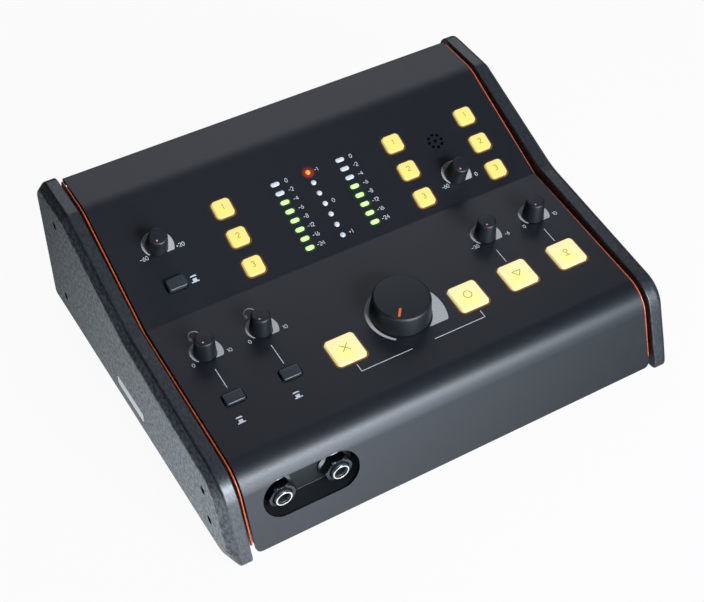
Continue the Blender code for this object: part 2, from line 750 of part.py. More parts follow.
def foot(name, side, depth):
    """A tapered rubber foot under the base, reaching below the cheeks."""
    sole = FOOT_RADIUS - FOOT_TAPER
    profile = ((0.0, BASE - GAP), (FOOT_RADIUS, BASE - GAP), (sole, 0.0), (0.0, 0.0))
    frame = Matrix.Translation((side * FOOT_SHARE * PANEL_WIDTH, depth, 0.0))
    turned(name, profile, "foot_rubber", frame, SMALL_STEPS)


# Control boards
def switch_well(place, travel):
    """The hole in a switch that the button's plunger slides in."""
    deep = SWITCH_TOP + PLUNGER_REACH + travel + SWITCH_FLOOR
    return put("well", prism(circle(PLUNGER + SHAFT_GAP, TINY_STEPS), -deep, 0.0), frame=place)


def switch_body(place):
    """A switch on the board."""
    size = (SWITCH_SIDE, SWITCH_SIDE, SWITCH_HEIGHT + SOLDER_SINK)
    centre = (0.0, 0.0, -SWITCH_TOP - (SWITCH_HEIGHT + SOLDER_SINK) / 2)
    return put("switch", box(size, centre), frame=place)


def pot_shapes(place, bush, body):
    """A potentiometer's body and threaded bush, on the board and through the panel."""
    sunk = -BOARD_DEPTH - SOLDER_SINK
    neck = put("bush", prism(circle(bush, SMALL_STEPS), sunk, POT_BUSH_PROUD), frame=place)
    return [neck, put("pot", body, frame=place)]


def pot_well(place, shaft):
    """The bore in which the potentiometer's shaft turns."""
    outline = circle(shaft + SHAFT_GAP, TINY_STEPS)
    return put("pot_bore", prism(outline, -POT_WELL, POT_BUSH_PROUD + OVERRUN), frame=place)


def small_pot_body():
    """The flat box of a small potentiometer."""
    size = (POT_WIDTH, POT_LENGTH, POT_HEIGHT + SOLDER_SINK)
    return box(size, (0.0, 0.0, -BOARD_DEPTH + (POT_HEIGHT - SOLDER_SINK) / 2))


def control_board(name, slope):
    """A printed board under a slope, with what is soldered on it."""
    middle, run = board_span(slope)
    width = 2 * (TRAY_INNER_HALF - BOARD_SIDE_IN)
    slab = box((width, run, BOARD), (0.0, 0.0, -BOARD / 2))
    board = put(name, slab, "board_green", on_slope(slope, 0.0, middle, BOARD_DEPTH))
    solids, wells = [], []
    for _, on, across, up in LIT_SMALL + LIT_LARGE:
        if on == slope:
            place = on_slope(slope, across, up)
            solids.append(switch_body(place))
            wells.append(switch_well(place, BUTTON_TRAVEL))
    for _, on, across, up, _ in PUSHES:
        if on == slope:
            place = on_slope(slope, across, up)
            solids.append(switch_body(place))
            wells.append(switch_well(place, PUSH_LATCH + PUSH_OVERTRAVEL))
    for _, on, across, up in SMALL_KNOBS:
        if on == slope:
            place = on_slope(slope, across, up)
            solids += pot_shapes(place, POT_BUSH, small_pot_body())
            wells.append(pot_well(place, POT_SHAFT))
    if slope == MAIN_PLACE[0]:
        place = on_slope(*MAIN_PLACE)
        reach = (-BOARD_DEPTH - SOLDER_SINK, MAIN_POT_HEIGHT - BOARD_DEPTH)
        drum = prism(circle(MAIN_POT_RADIUS, ROUND_STEPS), *reach)
        solids += pot_shapes(place, MAIN_BUSH, drum)
        wells.append(pot_well(place, MAIN_SHAFT))
    if slope == MIC_PLACE[0]:
        place = on_slope(*MIC_PLACE)
        rim = -(UNDER_SHEET + MIC_LENGTH / 2)
        floor = -(UNDER_SHEET + MIC_LENGTH + GAP)
        cup = circle(MIC_RADIUS + GAP + MIC_CUP_WALL, SMALL_STEPS)
        solids.append(put("mic_cup", prism(cup, -BOARD_DEPTH - SOLDER_SINK, rim), frame=place))
        wells.append(put("mic_well", prism(circle(MIC_RADIUS + GAP, SMALL_STEPS), floor, 0.0), frame=place))
    combine(board, "UNION", solids)
    combine(board, "DIFFERENCE", wells)


def light_guide(name, across, shares, lamp):
    """A lamp block standing on the upper board, with one window for each lamp."""
    slope = UPPER
    run = (slope.end - slope.start).length
    low, high = shares[0] * run - BAR_WIDTH / 2 - GUIDE_END, shares[-1] * run + BAR_WIDTH / 2 + GUIDE_END
    size = (GUIDE_WIDTH, high - low, BOARD_DEPTH - GAP - UNDER_SHEET)
    centre = (0.0, (low + high) / 2, -UNDER_SHEET - size[2] / 2)
    guide = put(name, box(size, centre), "lamp_clear", on_slope(slope, across, 0.0))
    reach = (-UNDER_SHEET - SOLDER_SINK, -LAMP_SET_IN)
    lamps = [put("lamp", prism(lamp, *reach), frame=on_slope(slope, across, up)) for up in shares]
    combine(guide, "UNION", lamps)


def mic_capsule():
    """The talkback microphone, in its cup behind the holes."""
    top = -UNDER_SHEET
    profile = ((0.0, top), (MIC_RADIUS, top), (MIC_RADIUS, top - MIC_LENGTH), (0.0, top - MIC_LENGTH))
    turned("mic_capsule", profile, "mic_metal", on_slope(*MIC_PLACE), SMALL_STEPS)


# Buttons
def button_mesh(name, length, width, corner, proud, finish):
    """A cap with a rounded top edge, a lip under the sheet and a plunger."""
    turn = COARSE_TURN
    ease = BUTTON_ROUND
    side = rectangle(length, width, corner, turn)
    top = rectangle(length - 2 * ease, width - 2 * ease, corner - ease, turn)
    middle = [a.lerp(b, BUTTON_ROUND_SHARE) for a, b in zip(side, top)]
    lip = rectangle(length + 2 * BUTTON_LIP, width + 2 * BUTTON_LIP, corner, turn)
    rod = circle(PLUNGER, len(side), atan2(side[0].y, side[0].x))
    foot_depth = SWITCH_TOP + PLUNGER_REACH
    sections = [
        (proud, top), (proud - ease * BUTTON_ROUND_SHARE, middle), (proud - ease, side), (-LIP_TOP, side),
        (-LIP_TOP, lip), (-LIP_BOTTOM, lip), (-LIP_BOTTOM, rod), (-foot_depth, rod),
    ]
    mesh = mesh_from(name, stack(sections))
    mesh.materials.append(material(finish))
    return mesh


def lit_buttons():
    """The translucent square buttons, each free to be pressed."""
    for label, side, lit in (("small", SMALL_BUTTON, LIT_SMALL), ("large", LARGE_BUTTON, LIT_LARGE)):
        mesh = button_mesh(f"{label}_lit_button", side, side, BUTTON_CORNER, BUTTON_PROUD, "lit_cap")
        for name, *place in lit:
            put_mesh(name, mesh, "lit_cap", on_slope(*place))


def push_buttons():
    """The black latching buttons. Two of them are latched in."""
    mesh = button_mesh("push_button", PUSH_LENGTH, PUSH_WIDTH, PUSH_CORNER, PUSH_OUT, "push_black")
    for name, slope, across, up, set_in in PUSHES:
        put_mesh(name, mesh, "push_black", on_slope(slope, across, up, set_in))


# Knobs
def knob_profile(radius, taper, height, wall, stem):
    """A tapered knob, hollow underneath, with a blind bore for the shaft."""
    top = radius - taper
    bore = stem + GAP
    roof = height - KNOB_CROWN
    return (
        (0.0, height), (top - KNOB_ROUND, height), (top, height - KNOB_ROUND),
        (radius, KNOB_FOOT), (radius - wall, KNOB_FOOT),
        (radius - wall, KNOB_HOLLOW), (bore, KNOB_HOLLOW), (bore, roof), (0.0, roof),
    )


def shaft_profile(shaft, stem, height):
    """A stepped shaft from the potentiometer's bore up into the knob."""
    top = height - KNOB_CROWN - GAP
    step = POT_BUSH_PROUD + GAP
    end = GAP - POT_WELL
    return ((0.0, top), (stem, top), (stem, step), (shaft, step), (shaft, end), (0.0, end))


def knobs():
    """Each knob and its shaft, with their origin on the axis at the panel's face."""
    small = (KNOB_RADIUS, KNOB_TAPER, KNOB_HEIGHT, KNOB_WALL, POT_STEM)
    for name, *place in SMALL_KNOBS:
        frame = on_slope(*place)
        turned(f"{name}_knob", knob_profile(*small), "knob_soft_black", frame, ROUND_STEPS)
        shaft = shaft_profile(POT_SHAFT, POT_STEM, KNOB_HEIGHT)
        turned(f"{name}_shaft", shaft, "shaft_steel", frame, TINY_STEPS)
    frame = on_slope(*MAIN_PLACE)
    main = knob_profile(MAIN_KNOB_RADIUS, MAIN_KNOB_TAPER, MAIN_KNOB_HEIGHT, MAIN_KNOB_WALL, MAIN_SHAFT)
    turned("main_level_knob", main, "knob_soft_black", frame, MAIN_STEPS)
    shaft = shaft_profile(MAIN_SHAFT, MAIN_SHAFT, MAIN_KNOB_HEIGHT)
    turned("main_level_shaft", shaft[:2] + shaft[4:], "shaft_steel", frame, TINY_STEPS)


# Headphone sockets
def level_frame(across):
    """Frame of a socket behind the slot: x across, y straight up, z level out of the front."""
    face = on_slope(FRONT, across, SOCKET_ROW_SHARE).translation
    sunk = on_slope(FRONT, across, SOCKET_ROW_SHARE, UNDER_SHEET).translation
    frame = Matrix(((1, 0, 0), (0, 0, -1), (0, 1, 0))).to_4x4()
    frame.translation = (face.x, face.y, sunk.z)
    return frame


def headphone_recess():
    """A level cup behind the panel's slanted slot, with a hole for each socket's bush."""
    frame = level_frame(SLOT_MIDDLE_SHARE)
    slope = (FRONT.end - FRONT.start).normalized()
    half = SLOT_RADIUS * slope.y
    outer = rectangle(SLOT_LENGTH + 2 * RECESS_WALL, 2 * (half + RECESS_WALL), half + RECESS_WALL, SLOT_TURN)
    mouth = SLOT_RADIUS
    shape = prism(outer, -RECESS_DEPTH - RECESS_WALL, mouth)
    obj = put("headphone_recess", shape, "black_steel", frame)
    inner = rectangle(SLOT_LENGTH, 2 * half, half, SLOT_TURN)
    cuts = [put("recess_hollow", prism(inner, -RECESS_DEPTH, mouth + OVERRUN), frame=frame)]
    beyond = box((2 * SLOT_LENGTH, 2 * SLOT_LENGTH, SLOT_LENGTH), (0.0, 0.0, SLOT_LENGTH / 2))
    under = on_slope(FRONT, SLOT_MIDDLE_SHARE, SOCKET_ROW_SHARE, UNDER_SHEET)
    cuts.append(put("recess_mouth", beyond, frame=under))
    through = (-RECESS_DEPTH - OVERRUN, OVERRUN - RECESS_DEPTH)
    for across in SOCKET_SHARES:
        hole = prism(circle(BUSH_RADIUS + GAP, ROUND_STEPS), *through)
        cuts.append(put("bush_hole", hole, frame=level_frame(across)))
    combine(obj, "DIFFERENCE", cuts)


def headphone_socket(index, across):
    """A 6.35 mm socket: its body behind the recess, its threaded bush through it, and its nut."""
    frame = level_frame(across)
    back = -RECESS_DEPTH - RECESS_WALL - GAP
    outline = [p - Vector((0.0, SOCKET_BODY_DROP)) for p in rectangle(SOCKET_BODY, SOCKET_BODY)]
    body = prism(outline, back - SOCKET_BODY_LENGTH, back)
    socket = put(f"headphone_socket_{index}", body, "connector_black", frame)
    bush = stack([
        (back - SOLDER_SINK, circle(BUSH_RADIUS, ROUND_STEPS)),
        (BUSH_SET_OUT - BUSH_ROUND, circle(BUSH_RADIUS, ROUND_STEPS)),
        (BUSH_SET_OUT, circle(BUSH_RADIUS - BUSH_ROUND, ROUND_STEPS)),
    ])
    combine(socket, "UNION", [put("socket_bush", bush, frame=frame)])
    depth = back - SOCKET_BODY_LENGTH + SOCKET_BORE
    bore = prism(circle(SOCKET_BORE, ROUND_STEPS), depth, BUSH_SET_OUT + OVERRUN)
    combine(socket, "DIFFERENCE", [put("socket_bore", bore, frame=frame)])
    headphone_nut(index, frame)


def headphone_nut(index, frame):
    """A hexagonal nut with a round flange against the recess."""
    seat = GAP - RECESS_DEPTH
    top = seat + NUT_FLANGE_HEIGHT + NUT_HEIGHT
    half_side = pi / NUT_SIDES
    corner = NUT_ACROSS / 2 / cos(half_side)
    hexagon = circle(corner, NUT_SIDES, half_side)
    eased = circle(corner - NUT_CHAMFER, NUT_SIDES, half_side)
    nut = stack([(seat + SOLDER_SINK, hexagon), (top - NUT_CHAMFER, hexagon), (top, eased)])
    obj = put(f"headphone_nut_{index}", nut, "nut_black", frame)
    flange = prism(circle(NUT_FLANGE_RADIUS, ROUND_STEPS), seat, seat + NUT_FLANGE_HEIGHT)
    combine(obj, "UNION", [put("nut_flange", flange, frame=frame)])
    thread = prism(circle(BUSH_RADIUS + GAP, ROUND_STEPS), seat - OVERRUN, top + OVERRUN)
    combine(obj, "DIFFERENCE", [put("nut_thread", thread, frame=frame)])


# Rear panel and connectors
def rear_places():
    """Frames of the rear connectors, by kind."""
    xlr = [XLR_PLACE_SHARE + XLR_PITCH_SHARE * (i - (XLR_COUNT - 1) / 2) for i in range(XLR_COUNT)]
    jack = [JACK_PLACE_SHARE + JACK_PITCH_SHARE * i for i in range(JACK_COLUMNS)]
    return {
        "input": [on_rear(across, UPPER_ROW_SHARE) for across in xlr],
        "output": [on_rear(across, LOWER_ROW_SHARE) for across in xlr],
        "jack": [on_rear(across, up) for up in JACK_ROW_SHARES for across in jack],
        "inlet": [on_rear(INLET_PLACE_SHARE, INLET_ROW_SHARE)],
    }


def rear_panel():
    """The flat rear sheet, with a hole for each connector."""
    width = 2 * (TRAY_INNER_HALF - GAP)
    low, high = (-width / 2, REAR_INNER, REAR_LOW), (width / 2, REAR_FACE, REAR_HIGH)
    panel = put("rear_panel", block(low, high), "black_steel")
    places = rear_places()
    through = (-REAR_SHEET - OVERRUN, OVERRUN)
    holes = []
    for kind in ("input", "output"):
        outline = circle(XLR_BARREL + GAP, ROUND_STEPS)
        holes += [put("xlr_hole", prism(outline, *through), frame=frame) for frame in places[kind]]
    outline = circle(JACK_BARREL + GAP, SMALL_STEPS)
    holes += [put("jack_hole", prism(outline, *through), frame=frame) for frame in places["jack"]]
    outline = rectangle(INLET_WIDTH + 2 * GAP, INLET_HEIGHT + 2 * GAP)
    holes += [put("inlet_hole", prism(outline, *through), frame=frame) for frame in places["inlet"]]
    combine(panel, "DIFFERENCE", holes)


def bank(name, frames, margin, barrel, proud, bore, bore_depth, insert=0.0):
    """A row or block of like connectors moulded in one housing behind the rear panel."""
    low = Vector([min(f.translation[i] for f in frames) for i in range(3)])
    high = Vector([max(f.translation[i] for f in frames) for i in range(3)])
    back = REAR_INNER - GAP
    low = Vector((low.x - margin, back - BANK_DEPTH, low.z - margin))
    high = Vector((high.x + margin, back, high.z + margin))
    obj = put(name, block(low, high), "connector_black")
    sunk = -REAR_SHEET - GAP - SOLDER_SINK
    steps = ROUND_STEPS if barrel == XLR_BARREL else SMALL_STEPS
    necks = [put("barrel", prism(circle(barrel, steps), sunk, proud), frame=f) for f in frames]
    combine(obj, "UNION", necks)
    cups = [put("bore", prism(circle(bore, steps), -bore_depth, proud + OVERRUN), frame=f) for f in frames]
    combine(obj, "DIFFERENCE", cups)
    if insert:
        face = -XLR_INSERT_IN
        core = (circle(insert, SMALL_STEPS), -bore_depth - SOLDER_SINK, face)
        combine(obj, "UNION", [put("insert", prism(*core), frame=f) for f in frames])


def power_inlet():
    """A mains inlet with a switch above it, in one moulding that snaps into the rear panel."""
    frame = rear_places()["inlet"][0]
    body = prism(rectangle(INLET_WIDTH, INLET_HEIGHT), -REAR_SHEET - BANK_DEPTH, GAP + SOLDER_SINK)
    inlet = put("power_inlet", body, "connector_black", frame)
    flange = rectangle(INLET_WIDTH + 2 * INLET_FLANGE, INLET_HEIGHT + 2 * INLET_FLANGE, INLET_FLANGE)
    face = GAP + INLET_FLANGE_THICKNESS
    combine(inlet, "UNION", [put("inlet_flange", prism(flange, GAP, face), frame=frame)])
    socket = rectangle(INLET_CAVITY_WIDTH, INLET_CAVITY_HEIGHT, INLET_CORNER)
    socket = [p + Vector((0.0, INLET_SOCKET_SHARE * INLET_HEIGHT)) for p in socket]
    well = rectangle(ROCKER_WIDTH + 2 * GAP, 2 * (ROCKER_HALF + ROCKER_CLEAR))
    well = [p + Vector((0.0, INLET_ROCKER_SHARE * INLET_HEIGHT)) for p in well]
    cuts = []
    for outline, depth in ((socket, INLET_CAVITY_DEPTH), (well, ROCKER_WELL)):
        cuts.append(put("inlet_cut", prism(outline, face - depth, face + OVERRUN), frame=frame))
    combine(inlet, "DIFFERENCE", cuts)


def rocker_axis():
    """Frame of the power rocker's pivot: x to the user's left, y up, z out of the back."""
    frame = rear_places()["inlet"][0]
    depth = GAP + INLET_FLANGE_THICKNESS - ROCKER_INSET
    return frame @ Matrix.Translation((0.0, INLET_ROCKER_SHARE * INLET_HEIGHT, depth))


def power_rocker():
    """The rocker, seen from the side: two faces that meet in a shallow valley, tipped to its on side."""
    half, face = ROCKER_HALF, ROCKER_FACE
    rise = half * tan(ROCKER_TILT)
    outline = [
        (-ROCKER_BACK, -half / 2), (-ROCKER_BACK, half / 2), (face, half), (face + rise, half),
        (face, 0.0), (face + rise, -half), (face, -half),
    ]
    shape = prism([Vector(p) for p in outline], -ROCKER_WIDTH / 2, ROCKER_WIDTH / 2)
    tipped = rocker_axis() @ Matrix.Rotation(-pi / 2, 4, "Y") @ Matrix.Rotation(ROCKER_TILT, 4, "Z")
    put("power_rocker", shape, "push_black", tipped)


def rear_board():
    """The upright board that carries the rear connectors."""
    back = REAR_INNER - GAP - BANK_DEPTH - GAP
    half = TRAY_INNER_HALF - BOARD_SIDE_IN
    high = REAR_HIGH - BOARD_DEPTH
    put("rear_board", block((-half, back - BOARD, REAR_LOW), (half, back, high)), "board_green")


def build():
    """Make every piece."""
    top_cover()
    chassis_tray()
    rear_panel()
    for side, hand in ((-1, "left"), (1, "right")):
        cheek(f"{hand}_cheek", side)
        accent_plate(f"{hand}_accent_plate", side)
        badge(f"{hand}_badge_plate", side)
        foot(f"{hand}_front_foot", side, CORNERS[1].x + FOOT_IN)
        foot(f"{hand}_rear_foot", side, BACK - FOOT_IN)
    control_board("upper_control_board", UPPER)
    control_board("lower_control_board", LOWER)
    bar = rectangle(BAR_LENGTH, BAR_WIDTH)
    light_guide("left_meter_light_guide", -METER_SHARE, BAR_SHARES, bar)
    light_guide("right_meter_light_guide", METER_SHARE, BAR_SHARES, bar)
    light_guide("correlation_light_guide", 0.0, DOT_SHARES, circle(DOT_RADIUS, TINY_STEPS))
    mic_capsule()
    lit_buttons()
    push_buttons()
    knobs()
    headphone_recess()
    for index, across in enumerate(SOCKET_SHARES):
        headphone_socket(index + 1, across)
    places = rear_places()
    xlr = (XLR_BARREL + XLR_MARGIN, XLR_BARREL, FLUSH)
    bank("xlr_input_bank", places["input"], *xlr, XLR_CUP, XLR_CUP_DEPTH, XLR_INSERT)
    bank("xlr_output_bank", places["output"], *xlr, XLR_CUP, XLR_CUP_DEPTH)
    jack = (JACK_MARGIN, JACK_BARREL, JACK_BARREL_PROUD)
    bank("jack_bank", places["jack"], *jack, SOCKET_BORE, JACK_BORE_DEPTH)
    power_inlet()
    power_rocker()
    rear_board()


build()
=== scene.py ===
"""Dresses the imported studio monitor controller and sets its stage.

Frame: +X to the user's right, +Y to the back, +Z up. Lengths in this file are millimetres unless a
name says otherwise, and mesh_of() turns them to metres. A piece on the panel is placed by its slope,
its place across and its distance up the slope from the slope's lower corner.
"""

from math import cos, pi, radians, sin

import bmesh
import bpy
import numpy as np
from bpy.props import FloatProperty, PointerProperty
from mathutils import Matrix, Vector


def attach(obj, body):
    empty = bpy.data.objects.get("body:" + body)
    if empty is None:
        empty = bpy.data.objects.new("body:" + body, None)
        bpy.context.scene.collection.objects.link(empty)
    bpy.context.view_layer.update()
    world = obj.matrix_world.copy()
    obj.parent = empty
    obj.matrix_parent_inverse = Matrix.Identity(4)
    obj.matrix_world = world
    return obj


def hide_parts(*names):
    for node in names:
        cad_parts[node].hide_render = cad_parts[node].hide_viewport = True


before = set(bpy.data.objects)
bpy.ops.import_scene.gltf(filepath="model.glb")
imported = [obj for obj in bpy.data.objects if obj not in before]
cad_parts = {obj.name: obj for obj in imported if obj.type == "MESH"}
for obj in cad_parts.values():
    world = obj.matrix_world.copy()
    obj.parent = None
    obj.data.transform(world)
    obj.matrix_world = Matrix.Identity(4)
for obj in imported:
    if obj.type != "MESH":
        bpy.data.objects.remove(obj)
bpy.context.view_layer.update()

bl_info = {
    "name": "Studio Monitor Controller",
    "version": (1, 0, 0),
    "blender": (4, 5, 0),
    "location": "View3D > Sidebar > Controller",
    "description": "Builds the visible pieces of a studio monitor controller around its CAD frame",
    "category": "Add Mesh",
}

MM = 0.001
WELD = 0.0004
SHARP_ANGLE = radians(32)

# Panel corners seen from the side, as (y, z), from the front foot to the rear edge
CORNERS = np.array(
    [(-106.3157, 6.8), (-92.0391, 48.7370), (6.5366, 57.8814), (73.4574, 86.2876), (102.6574, 86.2876)]
)
FRONT, LOWER, UPPER, TOP = range(4)
RUNS = np.linalg.norm(np.diff(CORNERS, axis=0), axis=1)
PANEL_HALF = 117.5
SHEET = 1.5
PANEL_BENDS = (18.0, 7.0, 24.0)
REAR_LIP = 5.0
LIP_BEND = 2.2
FOOT_CLEARANCE = 4.0
BASE = CORNERS[0][1]
BACK = CORNERS[-1][0]
PANEL_TOP = CORNERS[-1][1]
REAR_FACE = BACK - SHEET - 0.3

# Cheeks and the plates beside them
CHEEK_INNER = 120.4
CHEEK_OUTER = 130.85
CHEEK_BACK = BACK + 5.3
CHEEK_STANDS = (1.4, 1.0, 2.8, 0.2, 0.3)
CHEEK_BENDS = (20.0, 40.0, 8.0)
CHEEK_ENDS = (2.0, 7.0, 2.0)
CHAMFER_WIDTH = 3.8
CHAMFER_DROP = 4.5
ACCENT_INNER = 118.1
ACCENT_OUTER = 118.9
ACCENT_STANDS = (-1.2, -0.7, -1.6, -0.8, -0.6)
ACCENT_ENDS = (3.0, 3.0, 1.0)
BADGE_PLACE = (6.6, 13.8)
BADGE_SIZE = (32.0, 7.2)
SCREW_HEAD, SCREW_HOLE, SCREW_DEPTH = 2.1, 2.3, 2.6
SIDE_MIDDLE = (20.0, 32.0)
HANDS = ((-1, "left"), (1, "right"))
SCREW_PLACES = ((-83.9, 16.5), (-79.3, 34.5), (89.2, 16.5), (86.4, 71.0))

# Places across the panel and up its slopes
OUTER, NEXT, BESIDE, SELECT, METER, CUE, AUX = 98.23, 67.21, 36.31, 51.82, 19.74, 74.965, -92.825
SELECT_ROWS = (10.32, 28.17, 46.02)
LARGE_ROW, PUSH_ROW, KNOB_ROW, MAIN_ROW = 41.58, 41.88, 72.57, 49.0
AUX_KNOB_ROW, AUX_PUSH_ROW, CUE_ROW, MIC_ROW = 39.91, 16.5, 15.99, 38.68
BAR_ROWS = 8.2 + 5.729 * np.arange(8)
DOT_ROWS = 8.1 + 6.674 * np.arange(7)
SOCKET_ROW = 23.79
SOCKET_FACE, SOCKET_HEIGHT = -98.65, 28.74
SLOT_HALF = 10.6
SLOT_PLACE, SLOT_REACH = -(OUTER + NEXT) / 2, (OUTER - NEXT) / 2
MIC_RING, MIC_HOLE = 3.9, 1.0
SHAFT_HOLE, MAIN_SHAFT_HOLE = 3.8, 4.8
POINTER_TURN = 142.3

# Half sizes of caps and lamps, the radii of their corners and the gaps round them
SMALL_CAP, LARGE_CAP, CAP_CORNER, CAP_GAP = (5.05, 5.05), (8.25, 8.25), 2.2, 0.35
PUSH_CAP, PUSH_CORNER, PUSH_GAP = (5.3, 3.25), 1.3, 0.6
BAR_LAMP, DOT_LAMP, LAMP_GAP = (2.5, 1.2), (1.4, 1.4), 0.2

# Ink, from just under the surface to just over it, and the widths of its strokes
INK_LOW, INK_HIGH = -0.02, 0.03
LINE_PEN, NUMBER_PEN, LEGEND_PEN, REAR_PEN = 0.38, 0.29, 0.34, 0.36
LIT_SMALL = [
    (f"{group}_button_{row + 1}", UPPER, across, up)
    for group, across in (("input", -SELECT), ("output", SELECT), ("cue", OUTER))
    for row, up in enumerate(reversed(SELECT_ROWS))
]
LIT_LARGE = [
    ("mute_button", LOWER, -BESIDE, LARGE_ROW), ("mono_button", LOWER, BESIDE, LARGE_ROW),
    ("dim_button", LOWER, NEXT, LARGE_ROW), ("talk_button", LOWER, OUTER, LARGE_ROW),
]
PUSHES = [
    ("aux_push_button", UPPER, AUX, AUX_PUSH_ROW, 0.0),
    ("phones_1_push_button", LOWER, -OUTER, PUSH_ROW, -1.8),
    ("phones_2_push_button", LOWER, -NEXT, PUSH_ROW, -1.8),
]
SMALL_KNOBS = [
    ("aux_level", UPPER, AUX, AUX_KNOB_ROW, "-60", "+20"),
    ("cue_level", UPPER, CUE, CUE_ROW, "-60", "0"),
    ("phones_1_level", LOWER, -OUTER, KNOB_ROW, "0", "10"),
    ("phones_2_level", LOWER, -NEXT, KNOB_ROW, "0", "10"),
    ("dim_level", LOWER, NEXT, KNOB_ROW, "-30", "-6"),
    ("talk_level", LOWER, OUTER, KNOB_ROW, "0", "10"),
]


# Shapes as grids of points
def unit(vectors):
    """Each vector divided by its length."""
    return vectors / np.linalg.norm(vectors, axis=-1, keepdims=True)


def on_slope(slope, across, up, points):
    """Local (x, y, z) turned so that y runs up a slope and z leaves the panel, then moved to a place."""
    start = CORNERS[slope]
    along = unit(CORNERS[slope + 1] - start)
    out = np.array((-along[1], along[0]))
    x, y, z = np.moveaxis(np.asarray(points, float), -1, 0)
    side = start + (up + y)[..., None] * along + z[..., None] * out
    return np.concatenate([(across + x)[..., None], side], axis=-1)


def on_rear(across, height, points):
    """Local (x, y, z) seen from behind: x to the viewer's right, y up, z out of the rear panel."""
    x, y, z = np.moveaxis(np.asarray(points, float), -1, 0)
    return np.stack([across - x, REAR_FACE + z, height + y], axis=-1)


def on_level(across, points):
    """Local (x, y, z) in the sockets' level frame: y straight up, z straight out of the front."""
    x, y, z = np.moveaxis(np.asarray(points, float), -1, 0)
    return np.stack([across + x, SOCKET_FACE - z, SOCKET_HEIGHT + y], axis=-1)


def arc(centre, radii, start, end, steps):
    """Points on an ellipse about a centre between two angles in degrees."""
    angle = np.radians(np.linspace(start, end, steps))
    return np.stack([centre[0] + radii[0] * np.cos(angle), centre[1] + radii[1] * np.sin(angle)], -1)


def rounded(corners, radii, steps=12, closed=True):
    """A path whose corners are replaced by arcs tangent to both sides, always with the same count."""
    corners = np.asarray(corners, float)
    before, after = np.roll(corners, 1, 0), np.roll(corners, -1, 0)
    path = []
    for index, (corner, radius) in enumerate(zip(corners, radii)):
        if not closed and index in (0, len(corners) - 1):
            path.append(corner[None])
            continue
        back, forth = unit(before[index] - corner), unit(after[index] - corner)
        half = np.arccos(np.clip(back @ forth, -1, 1)) / 2
        radius = max(radius, 1e-4)
        centre = corner + unit(back + forth) * radius / sin(half)
        first = corner + back * radius / np.tan(half) - centre
        last = corner + forth * radius / np.tan(half) - centre
        start = np.arctan2(first[1], first[0])
        sweep = (np.arctan2(last[1], last[0]) - start + pi) % (2 * pi) - pi
        angle = start + sweep * np.linspace(0, 1, steps)
        path.append(centre + radius * np.stack([np.cos(angle), np.sin(angle)], -1))
    return np.concatenate(path)


def pill(half_x, half_y, corner, grown=0.0, steps=8):
    """A rounded rectangle about the origin, anticlockwise and closed, grown outwards by a distance."""
    corner = max(corner, 1e-3)
    core = np.array([half_x - corner, half_y - corner])
    quarter = np.linspace(0, pi / 2, steps)
    path = []
    for turn, signs in enumerate(((1, 1), (-1, 1), (-1, -1), (1, -1))):
        angle = quarter + turn * pi / 2
        path.append(core * signs + (corner + grown) * np.stack([np.cos(angle), np.sin(angle)], -1))
    path = np.concatenate(path)
    return np.concatenate([path, path[:1]])


def raised(outline, height):
    """The points of an outline, each given a height."""
    return np.insert(np.asarray(outline, float), 2, height, axis=1)


def stack(rings):
    """A grid from outlines of equal count: each ring is (outline, height), and a point closes an end."""
    count = max(len(ring) for ring, _ in rings)
    return np.stack([raised(np.broadcast_to(ring, (count, 2)), height) for ring, height in rings])


def turned(corners, radii, steps, sides):
    """A profile of (radius, height) corners, each eased by an arc, carried round the z axis."""
    profile = rounded(corners, radii, steps, closed=False)
    angle = np.linspace(0, 2 * pi, sides + 1)
    radius, height = profile[:, :1], profile[:, 1:]
    x, y = radius * np.cos(angle), radius * np.sin(angle)
    return np.stack([x, y, np.broadcast_to(height, x.shape)], axis=-1)


def ribbon(path, width, low=INK_LOW, high=INK_HIGH):
    """A flat stroke along a path of (x, y): a rectangle carried along it, with square ends."""
    path = np.asarray(path, float)
    run = unit(np.gradient(path, axis=0))
    side = np.stack([-run[:, 1], run[:, 0]], -1) * width / 2
    return sector(path - side, path + side, low, high)


def sector(inner, outer, low=INK_LOW, high=INK_HIGH):
    """A flat shape between two open paths of equal count, as a closed thin solid."""
    corners = ((outer, high), (outer, low), (inner, low), (inner, high), (outer, high))
    loop = np.stack([raised(path, height) for path, height in corners])
    return [loop, *(np.stack([loop[:2, i], loop[[3, 2], i]]) for i in (0, -1))]


def prism(outline, low=INK_LOW, high=INK_HIGH):
    """A closed outline pulled up between two heights, with both ends closed to its middle."""
    outline = np.asarray(outline, float)
    if np.linalg.norm(outline[0] - outline[-1]) > 1e-9:
        outline = np.concatenate([outline, outline[:1]])
    middle = outline[:-1].mean(axis=0)[None]
    return stack([(middle, high), (outline, high), (outline, low), (middle, low)])


